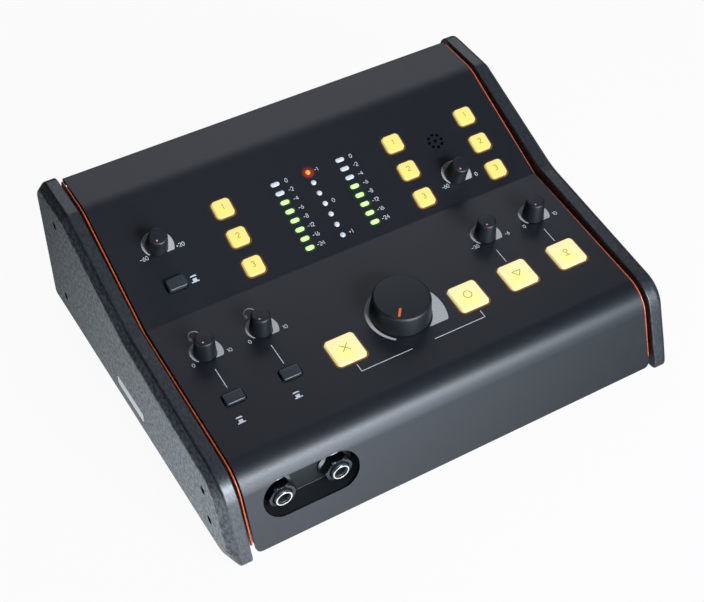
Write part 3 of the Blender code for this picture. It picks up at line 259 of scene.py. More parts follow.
# Meshes
def mesh_of(name, surfaces):
    """One mesh from grids of points: neighbours become faces, doubles are merged, faces turned outwards."""
    points, quads, uvs, base = [], [], [], 0
    for surface in surfaces:
        grid, uv = surface if isinstance(surface, tuple) else (surface, None)
        rows, columns = grid.shape[:2]
        if uv is None:
            v, u = np.meshgrid(np.linspace(0, 1, rows), np.linspace(0, 1, columns), indexing="ij")
            uv = np.stack([u, v], -1)
        index = base + np.arange(rows * columns).reshape(rows, columns)
        corners = (index[:-1, :-1], index[:-1, 1:], index[1:, 1:], index[1:, :-1])
        quads.append(np.stack(corners, -1).reshape(-1, 4))
        points.append(grid.reshape(-1, 3))
        uvs.append(uv.reshape(-1, 2))
        base += rows * columns
    points, quads, uvs = np.concatenate(points) * MM, np.concatenate(quads), np.concatenate(uvs)
    mesh = bpy.data.meshes.new(name)
    mesh.from_pydata(points.tolist(), [], quads.tolist())
    layer = mesh.uv_layers.new(name="UVMap")
    layer.data.foreach_set("uv", uvs[quads.ravel()].ravel())
    shape = bmesh.new()
    shape.from_mesh(mesh)
    bmesh.ops.remove_doubles(shape, verts=shape.verts, dist=WELD * MM)
    bmesh.ops.recalc_face_normals(shape, faces=shape.faces)
    shape.to_mesh(mesh)
    shape.free()
    return mesh


def smooth(mesh):
    """Shade a mesh smooth, but keep the edges that turn further than an angle sharp."""
    mesh.polygons.foreach_set("use_smooth", np.ones(len(mesh.polygons), bool))
    mesh.set_sharp_from_angle(angle=SHARP_ANGLE)


def make(name, surfaces, skin, stands_for=(), body="case"):
    """A finished piece: its mesh, its finish, the nodes it stands for and the body that it rides on."""
    mesh = mesh_of(name, surfaces)
    smooth(mesh)
    mesh.materials.append(finish(skin))
    piece = bpy.data.objects.new(name, mesh)
    bpy.context.scene.collection.objects.link(piece)
    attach(piece, body)
    if stands_for:
        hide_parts(*stands_for)
    return piece


def settle(piece):
    """Apply a piece's modifiers to its mesh, and let its large flat faces lead the shading."""
    evaluated = piece.evaluated_get(bpy.context.evaluated_depsgraph_get())
    mesh = bpy.data.meshes.new_from_object(evaluated)
    piece.modifiers.clear()
    piece.data = mesh
    smooth(mesh)
    weigh = piece.modifiers.new("flat_faces_lead", "WEIGHTED_NORMAL")
    weigh.weight, weigh.keep_sharp = 100, True


def carve(piece, cuts, bevel):
    """Cut closed shapes from a piece, and ease the sharp edges that are left."""
    tool = bpy.data.objects.new("cut", mesh_of("cut", cuts))
    bpy.context.scene.collection.objects.link(tool)
    cut = piece.modifiers.new("cut", "BOOLEAN")
    cut.operation, cut.solver, cut.object = "DIFFERENCE", "EXACT", tool
    ease = piece.modifiers.new("ease", "BEVEL")
    ease.width, ease.segments = bevel * MM, 2
    ease.limit_method, ease.angle_limit = "ANGLE", radians(50)
    settle(piece)
    bpy.data.objects.remove(tool)


# Materials
def settings():
    """The add-on's settings, kept with the scene."""
    return bpy.context.scene.controller


def linear(code):
    """A colour written as sRGB hex, turned to linear light."""
    channels = np.array([int(code[i:i + 2], 16) for i in (1, 3, 5)]) / 255
    value = np.where(channels <= 0.04045, channels / 12.92, ((channels + 0.055) / 1.055) ** 2.4)
    return (*value.tolist(), 1.0)


def add(tree, kind, sockets=(), **properties):
    """Add a node, set its properties and sockets, and link each socket that is given another's output."""
    made = tree.nodes.new(f"ShaderNode{kind}")
    for key, value in properties.items():
        setattr(made, key, value)
    for key, value in dict(sockets).items():
        if isinstance(value, bpy.types.NodeSocket):
            tree.links.new(value, made.inputs[key])
        else:
            made.inputs[key].default_value = value
    return made


def start_material(name):
    """An empty material with its output node."""
    made = bpy.data.materials.new(name)
    made.use_nodes = True
    made.node_tree.nodes.clear()
    return made, made.node_tree, add(made.node_tree, "OutputMaterial")


def grained(name, light, dark, rough, grain, depth, metallic=0.0, stretch=(1, 1, 1), speck=0.5, pits=0.0,
            mirror=0.5, calm=None):
    """A finish from one pattern: the noise mixes two colours, spreads the roughness and lifts the surface.

    grain is the size of the pattern and depth its height, both in millimetres. speck is how much of the
    noise the two colours share out, and pits how much of its mirroring the deepest part loses to shade.
    mirror is how strongly a plain coat mirrors at all. calm gives two distances from the middle, in
    millimetres, and the share of the pattern that is left inside the nearer one.
    """
    made, tree, output = start_material(name)
    place = add(tree, "TexCoord")
    scaled = add(tree, "Mapping", {"Vector": place.outputs["Object"], "Scale": stretch})
    noise = add(tree, "TexNoise", {
        "Vector": scaled.outputs["Vector"], "Scale": 1 / (grain * MM), "Detail": 3.0, "Roughness": 0.6,
    })
    pattern = noise.outputs["Fac"]
    if calm:
        across = add(tree, "SeparateXYZ", {"Vector": place.outputs["Object"]})
        far = add(tree, "Math", {0: across.outputs["X"]}, operation="ABSOLUTE")
        kept = add(tree, "MapRange", {
            "Value": far.outputs["Value"], "From Min": calm[0] * MM, "From Max": calm[1] * MM,
            "To Min": calm[2], "To Max": 1.0,
        })
        evened = add(tree, "Math", {0: pattern, 1: 0.5}, operation="SUBTRACT")
        pattern = add(tree, "Math", {0: evened.outputs["Value"], 1: kept.outputs["Result"], 2: 0.5},
                      operation="MULTIPLY_ADD").outputs["Value"]

    def spread(low, high, width):
        """The pattern's middle part, of a width, stretched to run from low to high."""
        return add(tree, "MapRange", {
            "Value": pattern, "From Min": 0.5 - width / 2, "From Max": 0.5 + width / 2,
            "To Min": low, "To Max": high,
        }).outputs["Result"]

    shade = add(tree, "MixRGB", {
        "Fac": spread(0.0, 1.0, speck), "Color1": linear(dark), "Color2": linear(light),
    })
    lift = add(tree, "Bump", {"Height": pattern, "Distance": depth * MM, "Strength": 1.0})
    shader = add(tree, "BsdfPrincipled", {
        "Base Color": shade.outputs["Color"], "Roughness": spread(*rough, 0.4), "Metallic": metallic,
        "Specular IOR Level": mirror, "Normal": lift.outputs["Normal"],
    })
    surface = shader.outputs["BSDF"]
    if pits:
        shade_only = add(tree, "BsdfDiffuse", {"Color": linear(dark)})
        surface = add(tree, "MixShader", {
            0: spread(pits, 0.0, speck), 1: surface, 2: shade_only.outputs["BSDF"],
        }).outputs["Shader"]
    tree.links.new(surface, output.inputs["Surface"])
    return made


def glowing(name, body, rim, heart, strength, centre=(0.5, 0.5), reach=0.5, rough=0.35):
    """A translucent moulding lit from inside: brightest at a hot spot, paler or redder at its rim."""
    made, tree, output = start_material(name)
    place = add(tree, "UVMap", uv_map="UVMap")
    moved = add(tree, "VectorMath", {0: place.outputs["UV"], 1: (*centre, 0.0)}, operation="DISTANCE")
    cloud = add(tree, "TexNoise", {"Vector": place.outputs["UV"], "Scale": 3.0, "Detail": 1.0})
    spread = add(tree, "Math", {0: cloud.outputs["Fac"], 1: 0.24, 2: moved.outputs["Value"]},
                 operation="MULTIPLY_ADD")
    shade = add(tree, "ValToRGB", {"Fac": spread.outputs["Value"]})
    first, last = shade.color_ramp.elements
    first.position, first.color = 0.12, linear(heart)
    last.position, last.color = reach + 0.12, linear(rim)
    shader = add(tree, "BsdfPrincipled", {
        "Base Color": linear(body), "Roughness": rough, "Emission Color": shade.outputs["Color"],
        "Emission Strength": strength,
    })
    tree.links.new(shader.outputs["BSDF"], output.inputs["Surface"])
    return made


FINISHES = {}


def finish(name):
    """The named finish, made once."""
    if name not in FINISHES:
        FINISHES[name] = RECIPES[name][1](name)
    return FINISHES[name]


def coat_lit_by(name, colour, strength):
    """The panel's powder coat with light spilling over it, strongest at the band's inner, lower edge."""
    made = RECIPES["powder_coated_steel"][1](name)
    tree = made.node_tree
    shader = next(node for node in tree.nodes if node.type == "BSDF_PRINCIPLED")
    place = add(tree, "UVMap", uv_map="UVMap")
    split = add(tree, "SeparateXYZ", {"Vector": place.outputs["UV"]})
    share = add(tree, "Math", {0: split.outputs["X"], 1: 0.85, 2: 0.15}, operation="MULTIPLY_ADD")
    power = add(tree, "Math", {0: share.outputs["Value"], 1: strength}, operation="MULTIPLY")
    fade = add(tree, "ValToRGB", {"Fac": split.outputs["Y"]})
    first, last = fade.color_ramp.elements
    fade.color_ramp.interpolation = "EASE"
    first.position, first.color = 0.0, linear(colour)
    last.position, last.color = 1.0, (0, 0, 0, 1)
    tree.links.new(fade.outputs["Color"], shader.inputs["Emission Color"])
    tree.links.new(power.outputs["Value"], shader.inputs["Emission Strength"])
    return made


# Each finish: the record's slot that it belongs to, and how it is made. The real grain of these coats
# and mouldings is 0.1 to 0.3 mm, too fine to show in the render, so it is drawn at 0.5 to 2 mm.
RECIPES = {
    # Satin black powder coat: near black and slightly blue, a soft sheen with a fine orange peel
    "powder_coated_steel": ("satin_black_panel", lambda name: grained(
        name, "#16181d", "#121418", (0.34, 0.46), settings().coat_texture / MM, 0.004)),
    # Textured polyurethane on a moulded cheek: black, with hard little grains that catch the light
    "grained_cheek_coat": ("textured_black_cheek", lambda name: grained(
        name, "#2b2e33", "#1b1d21", (0.30, 0.46), settings().cheek_grain / MM, 0.06,
        stretch=(1.0, 0.5, 0.5), speck=0.16, pits=0.5, mirror=1.0, calm=(126.5, 130.6, 0.3))),
    # Orange enamel on plate: saturated, smooth and fairly glossy
    "orange_enamel": ("orange_paint", lambda name: grained(
        name, "#d0653e", "#ab4a2e", (0.22, 0.32), 2.0, 0.003)),
    # Brushed aluminium plate: pale, with fine lines along its length
    "brushed_aluminium": ("blank_badge", lambda name: grained(
        name, "#d2cfcb", "#a9a6a2", (0.30, 0.45), 0.6, 0.004, metallic=1.0, stretch=(1, 0.04, 1))),
    # Screen-printed ink: light grey and dead matt, a little thin in places
    "screen_print_ink": ("blank_badge", lambda name: grained(
        name, "#acaaa7", "#979592", (0.55, 0.70), 0.7, 0.003)),
    # The same ink in thin lines and figures, mixed lighter so that they still read at their width
    "fine_print_ink": ("blank_badge", lambda name: grained(
        name, "#c8cacd", "#b4b6b9", (0.55, 0.70), 0.7, 0.003)),
    # Soft black knob moulding: dull, smooth, slightly blue
    "moulded_knob_abs": ("knob_soft_black", lambda name: grained(
        name, "#13161b", "#0f1216", (0.42, 0.52), 1.2, 0.004)),
    # Matt paint let into the knobs: orange in the main one's line, pale pink in the small ones' dots
    "pointer_paint": ("orange_paint", lambda name: grained(
        name, "#f4703a", "#e25a28", (0.45, 0.55), 1.0, 0.002)),
    "dot_paint": ("blank_badge", lambda name: grained(
        name, "#d9989a", "#c07c80", (0.45, 0.55), 1.0, 0.002)),
    # Black push-button moulding: satin, with a clean bright edge
    "moulded_push_abs": ("push_black", lambda name: grained(
        name, "#2e3137", "#26292e", (0.26, 0.36), 1.0, 0.003)),
    # Translucent acrylic caps lit by a warm lamp: pale rims, yellow hearts, and signs in olive ink
    "lit_small_acrylic": ("lit_cap", lambda name: glowing(
        name, "#ab9c5c", "#fbe58e", "#fff254", 0.56 * settings().glow, (0.42, 0.40), 0.5)),
    "lit_large_acrylic": ("lit_cap", lambda name: glowing(
        name, "#bbac7c", "#fbe8ae", "#fff468", 0.61 * settings().glow, (0.42, 0.36), 0.52)),
    "legend_ink": ("lit_cap", lambda name: grained(name, "#8f8230", "#776a24", (0.5, 0.6), 1.0, 0.002)),
    # Meter lenses: the unlit ones, and the light guides, carry a faint painted glow so that they look pale
    # grey; the lit ones glow
    "clear_lens": ("lamp_clear", lambda name: glowing(
        name, "#b8bbc6", "#e1e3ea", "#a0a3ad", 0.22, reach=0.4, rough=0.2)),
    "green_lens": ("lamp_clear", lambda name: glowing(
        name, "#86b266", "#aee276", "#f0ffcc", 0.85, reach=0.55, rough=0.2)),
    "orange_lens": ("lamp_clear", lambda name: glowing(
        name, "#d86a1e", "#ff4a10", "#ffb040", 1.1, reach=0.5, rough=0.2)),
    # The powder coat close beside a lit cap or lamp: the same sheen under painted light that fades outwards
    "coat_under_yellow_light": ("satin_black_panel", lambda name: coat_lit_by(name, "#d4800a", 0.55)),
    "coat_under_green_light": ("satin_black_panel", lambda name: coat_lit_by(name, "#2f7a1c", 0.35)),
    "coat_under_red_light": ("satin_black_panel", lambda name: coat_lit_by(name, "#d22a0c", 0.8)),
    # Microphone capsule, near black as painted shade: swallows nearly all the light that falls through the
    # holes
    "black_felt": ("mic_metal", lambda name: grained(
        name, "#08090a", "#030303", (0.85, 0.95), 0.5, 0.02, mirror=0.1)),
    # Nickel plate on ferrules, pins and rims: bright and mirror smooth
    "nickel_plate": ("mic_metal", lambda name: grained(
        name, "#eceae6", "#dedbd6", (0.24, 0.32), 1.0, 0.001, metallic=1.0)),
    # Black nickel nuts: dark, smooth and softly mirroring
    "black_nickel": ("nut_black", lambda name: grained(
        name, "#50545a", "#3c3f45", (0.24, 0.34), 0.9, 0.002, metallic=1.0)),
    # The nuts' flanges: the same plate, lighter as a painted glint, and turned to a cone that mirrors the light
    # above
    "black_nickel_bright": ("nut_black", lambda name: grained(
        name, "#8b8e92", "#75787d", (0.30, 0.40), 0.8, 0.001, metallic=1.0)),
    # Glass-filled nylon connectors: black, dull, a little uneven
    "moulded_nylon": ("connector_black", lambda name: grained(
        name, "#26272a", "#1d1e21", (0.42, 0.58), 0.8, 0.006)),
    # Flat black paint inside the headphone recess, made darker than the chassis paint as painted shade
    "recess_paint": ("black_steel", lambda name: grained(
        name, "#17181b", "#101113", (0.50, 0.62), 0.9, 0.004)),
    # Black paint on the chassis and the rear sheet
    "painted_chassis": ("black_steel", lambda name: grained(
        name, "#25272b", "#1c1e21", (0.42, 0.55), 0.7, 0.006)),
    # Zinc-plated latch tabs: greyer and duller than nickel
    "zinc_plate": ("mic_metal", lambda name: grained(
        name, "#c2c4c6", "#a2a5a9", (0.25, 0.40), 0.8, 0.003, metallic=1.0)),
    # Blackened screws: dark grey steel with a soft shine
    "black_oxide": ("nut_black", lambda name: grained(
        name, "#3c3f44", "#2a2d31", (0.30, 0.42), 0.6, 0.004, metallic=0.9)),
    # Turned steel shafts: bright, with fine marks
    "turned_steel": ("shaft_steel", lambda name: grained(
        name, "#c9cacc", "#a9abae", (0.22, 0.34), 0.5, 0.003, metallic=1.0)),
    # Moulded rubber feet: very dark and dry
    "moulded_rubber": ("foot_rubber", lambda name: grained(
        name, "#1e1e1f", "#151516", (0.75, 0.90), 0.8, 0.02)),
    # Glass-fibre board under green solder mask: satin dark green, a little cloudy
    "solder_mask": ("board_green", lambda name: grained(
        name, "#1d5a38", "#174a2e", (0.30, 0.45), 1.6, 0.004)),
}


# Panel
def moved_out(corners, distances):
    """Corners of a bent path moved outwards, so that each straight run is moved by its corners' distance.

    The move is along the sum of both runs' normals, divided by one plus their product.
    """
    run = unit(np.diff(corners, axis=0))
    normal = np.stack([-run[:, 1], run[:, 0]], -1)
    before, after = np.vstack([normal[:1], normal]), np.vstack([normal, normal[-1:]])
    share = distances / (1 + (before * after).sum(axis=1))
    return corners + (before + after) * share[:, None]


def panel_path(inward=0.0):
    """The panel's face seen from the side, moved inwards: straight slopes joined by tangent arcs."""
    corners = moved_out(np.array([*CORNERS, (BACK, PANEL_TOP - REAR_LIP)]), -inward)
    front, middle, rear = PANEL_BENDS
    radii = (0, front - inward, middle + inward, rear - inward, LIP_BEND - inward, 0)
    return rounded(corners, radii, steps=26, closed=False)


def panel_cuts():
    """Closed shapes for every hole in the panel, and for its two rounded lower corners."""
    cuts = []

    def cut(outline, slope, across, up):
        cuts.append(on_slope(slope, across, up, prism(outline, -SHEET - 2.0, 2.0)))

    def hole(radius, slope, across, up, steps=33):
        cut(arc((0, 0), (radius, radius), 0, 360, steps), slope, across, up)

    for half, lit in ((SMALL_CAP, LIT_SMALL), (LARGE_CAP, LIT_LARGE)):
        for _, *place in lit:
            cut(pill(*half, CAP_CORNER, CAP_GAP), *place)
    for _, slope, across, up, _ in PUSHES:
        cut(pill(*PUSH_CAP, PUSH_CORNER, PUSH_GAP), slope, across, up)
    for _, slope, across, up, _, _ in SMALL_KNOBS:
        hole(SHAFT_HOLE, slope, across, up)
    hole(MAIN_SHAFT_HOLE, LOWER, 0, MAIN_ROW)
    for side in (-METER, METER):
        for up in BAR_ROWS:
            cut(pill(*BAR_LAMP, min(BAR_LAMP), LAMP_GAP), UPPER, side, up)
    for up in DOT_ROWS:
        hole(min(DOT_LAMP) + LAMP_GAP, UPPER, 0, up, 25)
    for x, y in [(0, 0), *arc((0, 0), (MIC_RING, MIC_RING), 0, 315, 8)]:
        hole(MIC_HOLE, UPPER, CUE + x, MIC_ROW + y, 17)
    cut(pill(SLOT_HALF + SLOT_REACH, SLOT_HALF, SLOT_HALF, 0.0, 17), FRONT, SLOT_PLACE, SOCKET_ROW)
    radius = 3.0
    middle, past = radius - PANEL_HALF, -PANEL_HALF - 1
    bend = arc((middle, radius), (radius, radius), 180, 270, 9)
    toe = np.concatenate([[(past, radius)], bend, [(middle, -1.0), (past, -1.0)]])
    for side, _ in HANDS:
        cut(toe * (side, 1), FRONT, 0, 0)
    return cuts


def build_panel():
    """The folded sheet: its section is the panel's path and the same path one sheet inwards."""
    outer, inner = panel_path(), panel_path(SHEET)
    loop = np.concatenate([outer, inner[::-1], outer[:1]])
    ends = (-PANEL_HALF, PANEL_HALF)
    surfaces = [np.stack([np.insert(loop, 0, x, axis=1) for x in ends])]
    surfaces += [np.stack([np.insert(path, 0, x, axis=1) for path in (outer, inner)]) for x in ends]
    piece = make("folded_panel", surfaces, "powder_coated_steel", ["top_cover"])
    carve(piece, panel_cuts(), 0.18)


# Cheeks and the plates beside them
def side_outline(stands, bends, inward, low, back, ends):
    """The case seen from the side: the panel's corners moved out, cut off at a level and at the back."""
    moved = moved_out(CORNERS, np.array(stands) - inward)
    first = moved[1] - moved[0]
    moved[0] += first * (low - moved[0, 1]) / first[1]
    moved[-1, 0] = back
    front, middle, rear = bends
    toe, shoulder, heel = ends
    toe += 1.4 * max(inward, 0.0)
    radii = (toe, front - inward, middle + inward, max(rear - inward, 0.5), shoulder, heel)
    path = rounded([*moved, (back, low)], radii, steps=14)
    return np.concatenate([path, path[:1]])


def sideways(grid):
    """Points given as (y, z, x), put in the order x, y, z."""
    return grid[..., [2, 0, 1]]


def loft_across(section, outline):
    """Outlines carried across the case along a section of (x, inward) points, closed to a middle point."""
    rings = [(outline(inward), x) for x, inward in section]
    return sideways(stack([([SIDE_MIDDLE], section[0][0]), *rings, ([SIDE_MIDDLE], section[-1][0])]))


def mirrored(grids, side):
    """Grids on the right side of the case, or their mirror images on the left."""
    return [grid * (side, 1.0, 1.0) for grid in grids]


def badge_outline(grown=0.0):
    """The blank plate: a closed rectangle with its corners cut."""
    x, y = BADGE_SIZE[0] / 2 + grown, BADGE_SIZE[1] / 2 + grown
    cut = 1.2
    path = [(x - cut, y), (cut - x, y), (-x, y - cut), (-x, cut - y), (cut - x, -y), (x - cut, -y),
            (x, cut - y), (x, y - cut), (x - cut, y)]
    return np.array(path) + BADGE_PLACE


def build_cheeks():
    """Side pieces with a wide chamfer: the side outline carried across through eased corners.

    The blank plate and the blackened screws are let into them.
    """
    corners = [(CHEEK_INNER, 3.0), (CHEEK_INNER, 0.0), (CHEEK_OUTER - CHAMFER_WIDTH, 0.0),
               (CHEEK_OUTER, CHAMFER_DROP), (CHEEK_OUTER, CHAMFER_DROP + 3.0)]
    section = rounded(corners, (0, 0.7, 2.2, 2.0, 0), steps=7, closed=False)

    def outline(inward):
        return side_outline(CHEEK_STANDS, CHEEK_BENDS, inward, FOOT_CLEARANCE, CHEEK_BACK, CHEEK_ENDS)

    cheek, past = loft_across(section, outline), CHEEK_OUTER + 2.0
    cuts = [sideways(prism(badge_outline(0.2), CHEEK_OUTER - 1.8, past))]
    screws = []
    for place in SCREW_PLACES:
        hole = arc(place, (SCREW_HOLE, SCREW_HOLE), 0, 360, 25)
        cuts.append(sideways(prism(hole, CHEEK_OUTER - SCREW_DEPTH, past)))
        head = screw_head(SCREW_HEAD, CHEEK_OUTER - SCREW_DEPTH + 0.1, CHEEK_OUTER - 0.4)
        screws.append(sideways(head + (*place, 0.0)))
    for side, hand in HANDS:
        piece = make(f"{hand}_moulded_cheek", mirrored([cheek], side), "grained_cheek_coat", [f"{hand}_cheek"])
        carve(piece, mirrored(cuts, side), 0.25)
        make(f"{hand}_cheek_screws", mirrored(screws, side), "black_oxide")


def screw_head(radius, low, high):
    """A domed head with a hexagon socket: rings round the axis, whose middle ones follow a hexagon."""
    angle = np.linspace(0, 2 * pi, 49)
    hexagon = 0.52 * radius / np.cos((angle + pi / 6) % (pi / 3) - pi / 6)

    def ring(size):
        return np.stack([size * np.cos(angle), size * np.sin(angle)], -1)

    return stack([
        (ring(0), low), (ring(radius), low), (ring(radius), high - 0.6), (ring(0.92 * radius), high - 0.2),
        (ring(0.76 * radius), high), (ring(hexagon), high), (ring(hexagon), high - 0.9), (ring(0), high - 1.0),
    ])


def build_accent_plates():
    """Thin plates with eased rims: the side outline, set in a little, carried across the plate."""
    rim = 0.35
    corners = [(ACCENT_INNER, 3.0), (ACCENT_INNER, 0.0), (ACCENT_OUTER, 0.0), (ACCENT_OUTER, 3.0)]
    section = rounded(corners, (0, rim, rim, 0), steps=5, closed=False)

    def outline(inward):
        return side_outline(ACCENT_STANDS, PANEL_BENDS, inward, BASE + 1.5, BACK - 1.0, ACCENT_ENDS)

    plate = loft_across(section, outline)
    for side, hand in HANDS:
        make(f"{hand}_orange_plate", mirrored([plate], side), "orange_enamel", [f"{hand}_accent_plate"])


def build_badges():
    """Blank plates with cut corners, let into the cheeks nearly flush, with an eased front edge."""
    face, outline, middle = CHEEK_OUTER - 0.1, badge_outline(), [BADGE_PLACE]
    plate = sideways(stack([(middle, face - 1.4), (outline, face - 1.4), (outline, face - 0.2),
                            (badge_outline(-0.2), face), (middle, face)]))
    for side, hand in HANDS:
        make(f"{hand}_blank_plate", mirrored([plate], side), "brushed_aluminium", [f"{hand}_badge_plate"])


# Printing
GLYPH_GAP = 0.16
GLYPHS = {
    "0": (0.62, [arc((0.31, 0.5), (0.31, 0.5), 90, 450, 25)]),
    "1": (0.34, [[(0.04, 0.82), (0.26, 1.0), (0.26, 0.5), (0.26, 0.0)]]),
    "2": (0.60, [[*arc((0.29, 0.71), (0.29, 0.29), 170, -38, 14), (0.0, 0.0), (0.3, 0.0), (0.6, 0.0)]]),
    "3": (0.58, [arc((0.26, 0.75), (0.25, 0.25), 150, -90, 14),
                 arc((0.26, 0.25), (0.29, 0.25), 90, -150, 14)]),
    "4": (0.66, [[(0.64, 0.28), (0.3, 0.28), (0.0, 0.28), (0.48, 1.0), (0.48, 0.5), (0.48, 0.0)]]),
    "5": (0.58, [[(0.5, 1.0), (0.3, 1.0), (0.1, 1.0), (0.05, 0.56),
                  *arc((0.27, 0.31), (0.30, 0.31), 130, -145, 14)]]),
    "6": (0.60, [arc((0.3, 0.3), (0.3, 0.3), 0, 360, 20), [(0.05, 0.44), (0.23, 0.72), (0.42, 1.0)]]),
    "8": (0.58, [arc((0.29, 0.76), (0.24, 0.24), 0, 360, 18),
                 arc((0.29, 0.27), (0.28, 0.27), 0, 360, 18)]),
    "-": (0.50, [[(0.0, 0.46), (0.24, 0.46), (0.48, 0.46)]]),
    "+": (0.56, [[(0.04, 0.46), (0.27, 0.46), (0.5, 0.46)], [(0.27, 0.22), (0.27, 0.46), (0.27, 0.70)]]),
}


def number_parts(text, height, pen, low=INK_LOW, high=INK_HIGH):
    """A number's digits as flat strokes about the origin: each digit is a few arcs and lines."""
    width = sum(GLYPHS[digit][0] for digit in text) + GLYPH_GAP * (len(text) - 1)
    start, parts = -width / 2, []
    for digit in text:
        for path in GLYPHS[digit][1]:
            parts += ribbon((np.asarray(path) + (start, -0.5)) * height, pen, low, high)
        start += GLYPHS[digit][0] + GLYPH_GAP
    return parts


def crescent(turns, inner, outer, level):
    """A sickle between two curves, both given as radii by angle, in degrees clockwise from the top.

    On the right it ends along a level line, at a distance below the middle.
    """
    angle = np.radians(90 - turns)
    ray = np.stack([np.cos(angle), np.sin(angle)], -1)
    reach = np.where(turns > 0, level / np.maximum(-ray[:, 1], 0.05), np.inf)
    outer = np.minimum(outer, reach)
    inner = np.minimum(inner, outer)
    return sector(inner[:, None] * ray, outer[:, None] * ray)


def small_crescent():
    """The small knobs' sickle: it widens fast at first, then slowly."""
    turns = np.linspace(-124, 143, 72)
    share = (turns + 124) / 267
    return crescent(turns, 5.8 + 0.4 * share, 6.4 + 2.95 * (1 - (1 - share) ** 2.2), 5.15)


def main_crescent():
    """The main knob's sickle: even on the left, ever wider on the right."""
    turns = np.linspace(-142, 149, 110)
    share = (turns + 142) / 291
    inner = 17.0 - 1.6 * np.sin(pi * share)
    return crescent(turns, inner, 18.1 + 8.5 * np.clip((share - 0.4) / 0.6, 0, 1) ** 1.9, 14.9)


def build_print():
    """Everything printed on the panel: sickles, lines, numbers and plain signs, as thin closed ink."""
    broad, fine = [], []

    def ink(surfaces, parts, slope, across=0.0, up=0.0):
        surfaces.extend(on_slope(slope, across, up, part) for part in parts)

    def line(*points):
        for first, second in zip(points, points[1:]):
            run = unit(np.subtract(second, first)) * LINE_PEN / 2
            ink(fine, ribbon(np.linspace(first - run, second + run, 3), LINE_PEN), LOWER)

    def number(text, slope, across, up, height=2.2):
        ink(fine, number_parts(text, height, NUMBER_PEN), slope, across, up)

    for _, slope, across, up, low, high in SMALL_KNOBS:
        ink(broad, small_crescent(), slope, across, up)
        number(low, slope, across - 8.3 - 0.5 * (len(low) > 1), up - 4.3, 2.15)
        number(high, slope, across + 11.3 + 0.3 * (len(high) > 1), up - 4.0, 2.15)
    ink(broad, main_crescent(), LOWER, 0.0, MAIN_ROW)
    for across, high, low in ((-OUTER, 61.1, 48.8), (-NEXT, 61.5, 48.7), (NEXT, 61.3, 52.2),
                              (OUTER, 61.6, 52.3)):
        line((across, high), (across, low))
    line((-35.9, 30.8), (-35.9, 26.4), (-6.8, 26.4))
    line((6.7, 26.4), (36.7, 26.4), (36.7, 30.6))
    for side in (-METER, METER):
        for text, up in zip(("-24", "-16", "-12", "-8", "-6", "-4", "-2", "0"), BAR_ROWS):
            number(text, UPPER, side + 6.5, up)
    for text, up in (("-1", DOT_ROWS[6]), ("0", DOT_ROWS[3]), ("+1", DOT_ROWS[0])):
        number(text, UPPER, 4.9, up)
    ink(fine, push_sign(), UPPER, AUX + 9.9, AUX_PUSH_ROW - 0.6)
    ink(fine, push_sign(), LOWER, -OUTER - 3.2, PUSH_ROW - 13.0)
    ink(fine, push_sign(), LOWER, -NEXT - 3.4, PUSH_ROW - 13.0)
    for across in (-OUTER, -NEXT):
        ink(fine, headphone_sign(), LOWER, across + 0.1, KNOB_ROW + 12.0)
    make("panel_sickles", broad, "screen_print_ink")
    make("panel_print", fine, "fine_print_ink")


def push_sign():
    """Pressed and released buttons seen from the side: a low cap over a tall one on its sill."""
    low_cap = [(-1.9, 1.2), (-1.3, 2.0), (1.3, 2.0), (1.9, 1.2)]
    tall_cap = [(-1.1, -1.4), (-1.1, 0.2), (1.1, 0.2), (1.1, -1.4)]
    sill = [(-2.1, -2.0), (-2.1, -1.4), (2.1, -1.4), (2.1, -2.0)]
    return [prism(shape) for shape in (low_cap, tall_cap, sill)]


def headphone_sign():
    """A headband arc with a cup at each end."""
    cups = [prism(pill(0.75, 1.25, 0.7) + (side * 2.7, -1.3)) for side, _ in HANDS]
    return [*ribbon(arc((0, 0), (2.9, 2.9), 190, -10, 24), 0.45), *cups]


# Knobs
def knob_surface(radius, top, height, wall, bore, ease):
    """A knob turned from its profile: broad eased rim, flat face, leaning side, hollow underneath."""
    corners = [(0, height), (top, height), (radius, 0.6), (radius - wall, 0.6), (radius - wall, 3.2),
               (bore, 3.2), (bore, height - 2.0), (0, height - 2.0)]
    return turned(corners, (0, ease, 0.3, 0.3, 0.4, 0.3, 0, 0), 9, 72)


def pointer_turn(points, angle):
    """Local points turned anticlockwise."""
    x, y, z = np.moveaxis(points, -1, 0)
    return np.stack([x * cos(angle) - y * sin(angle), x * sin(angle) + y * cos(angle), z], -1)


def build_small_knobs():
    """Six small knobs with a pale dot let into the rim of their face."""
    knob = knob_surface(6.0, 4.85, 12.0, 1.1, 3.3, 1.1)
    dot = pointer_turn(prism(arc((0, 2.9), (0.48, 0.48), 0, 360, 17), 11.5, 12.04), radians(POINTER_TURN))
    for name, *place, _, _ in SMALL_KNOBS:
        body = f"{name}_control"
        make(f"{name}_cap", [on_slope(*place, knob)], "moulded_knob_abs", [f"{name}_knob"], body)
        make(f"{name}_dot", [on_slope(*place, dot)], "dot_paint", body=body)


def build_main_knob():
    """The main knob and its orange pointer, a flat bar with round corners near the rim."""
    place, body = (LOWER, 0, MAIN_ROW), "main_level_control"
    knob = knob_surface(16.0, 15.05, 12.5, 3.0, 3.3, 1.6)
    make("main_level_cap", [on_slope(*place, knob)], "moulded_knob_abs", ["main_level_knob"], body)
    bar = pointer_turn(prism(pill(0.6, 2.75, 0.3) + (0.0, 10.2), 12.0, 12.54), settings().main_turn)
    make("main_level_pointer", [on_slope(*place, bar)], "pointer_paint", body=body)


# Buttons
def face_map(grid, half):
    """A grid with a u and v that run from 0 to 1 across a face of a half size."""
    return grid, grid[..., :2] / (2 * np.array(half)) + 0.5


def laid(surface, slope, across, up, raise_by=0.0):
    """A grid with its u and v, put in its place on a slope."""
    grid, uv = surface
    return on_slope(slope, across, up, grid + (0, 0, raise_by)), uv


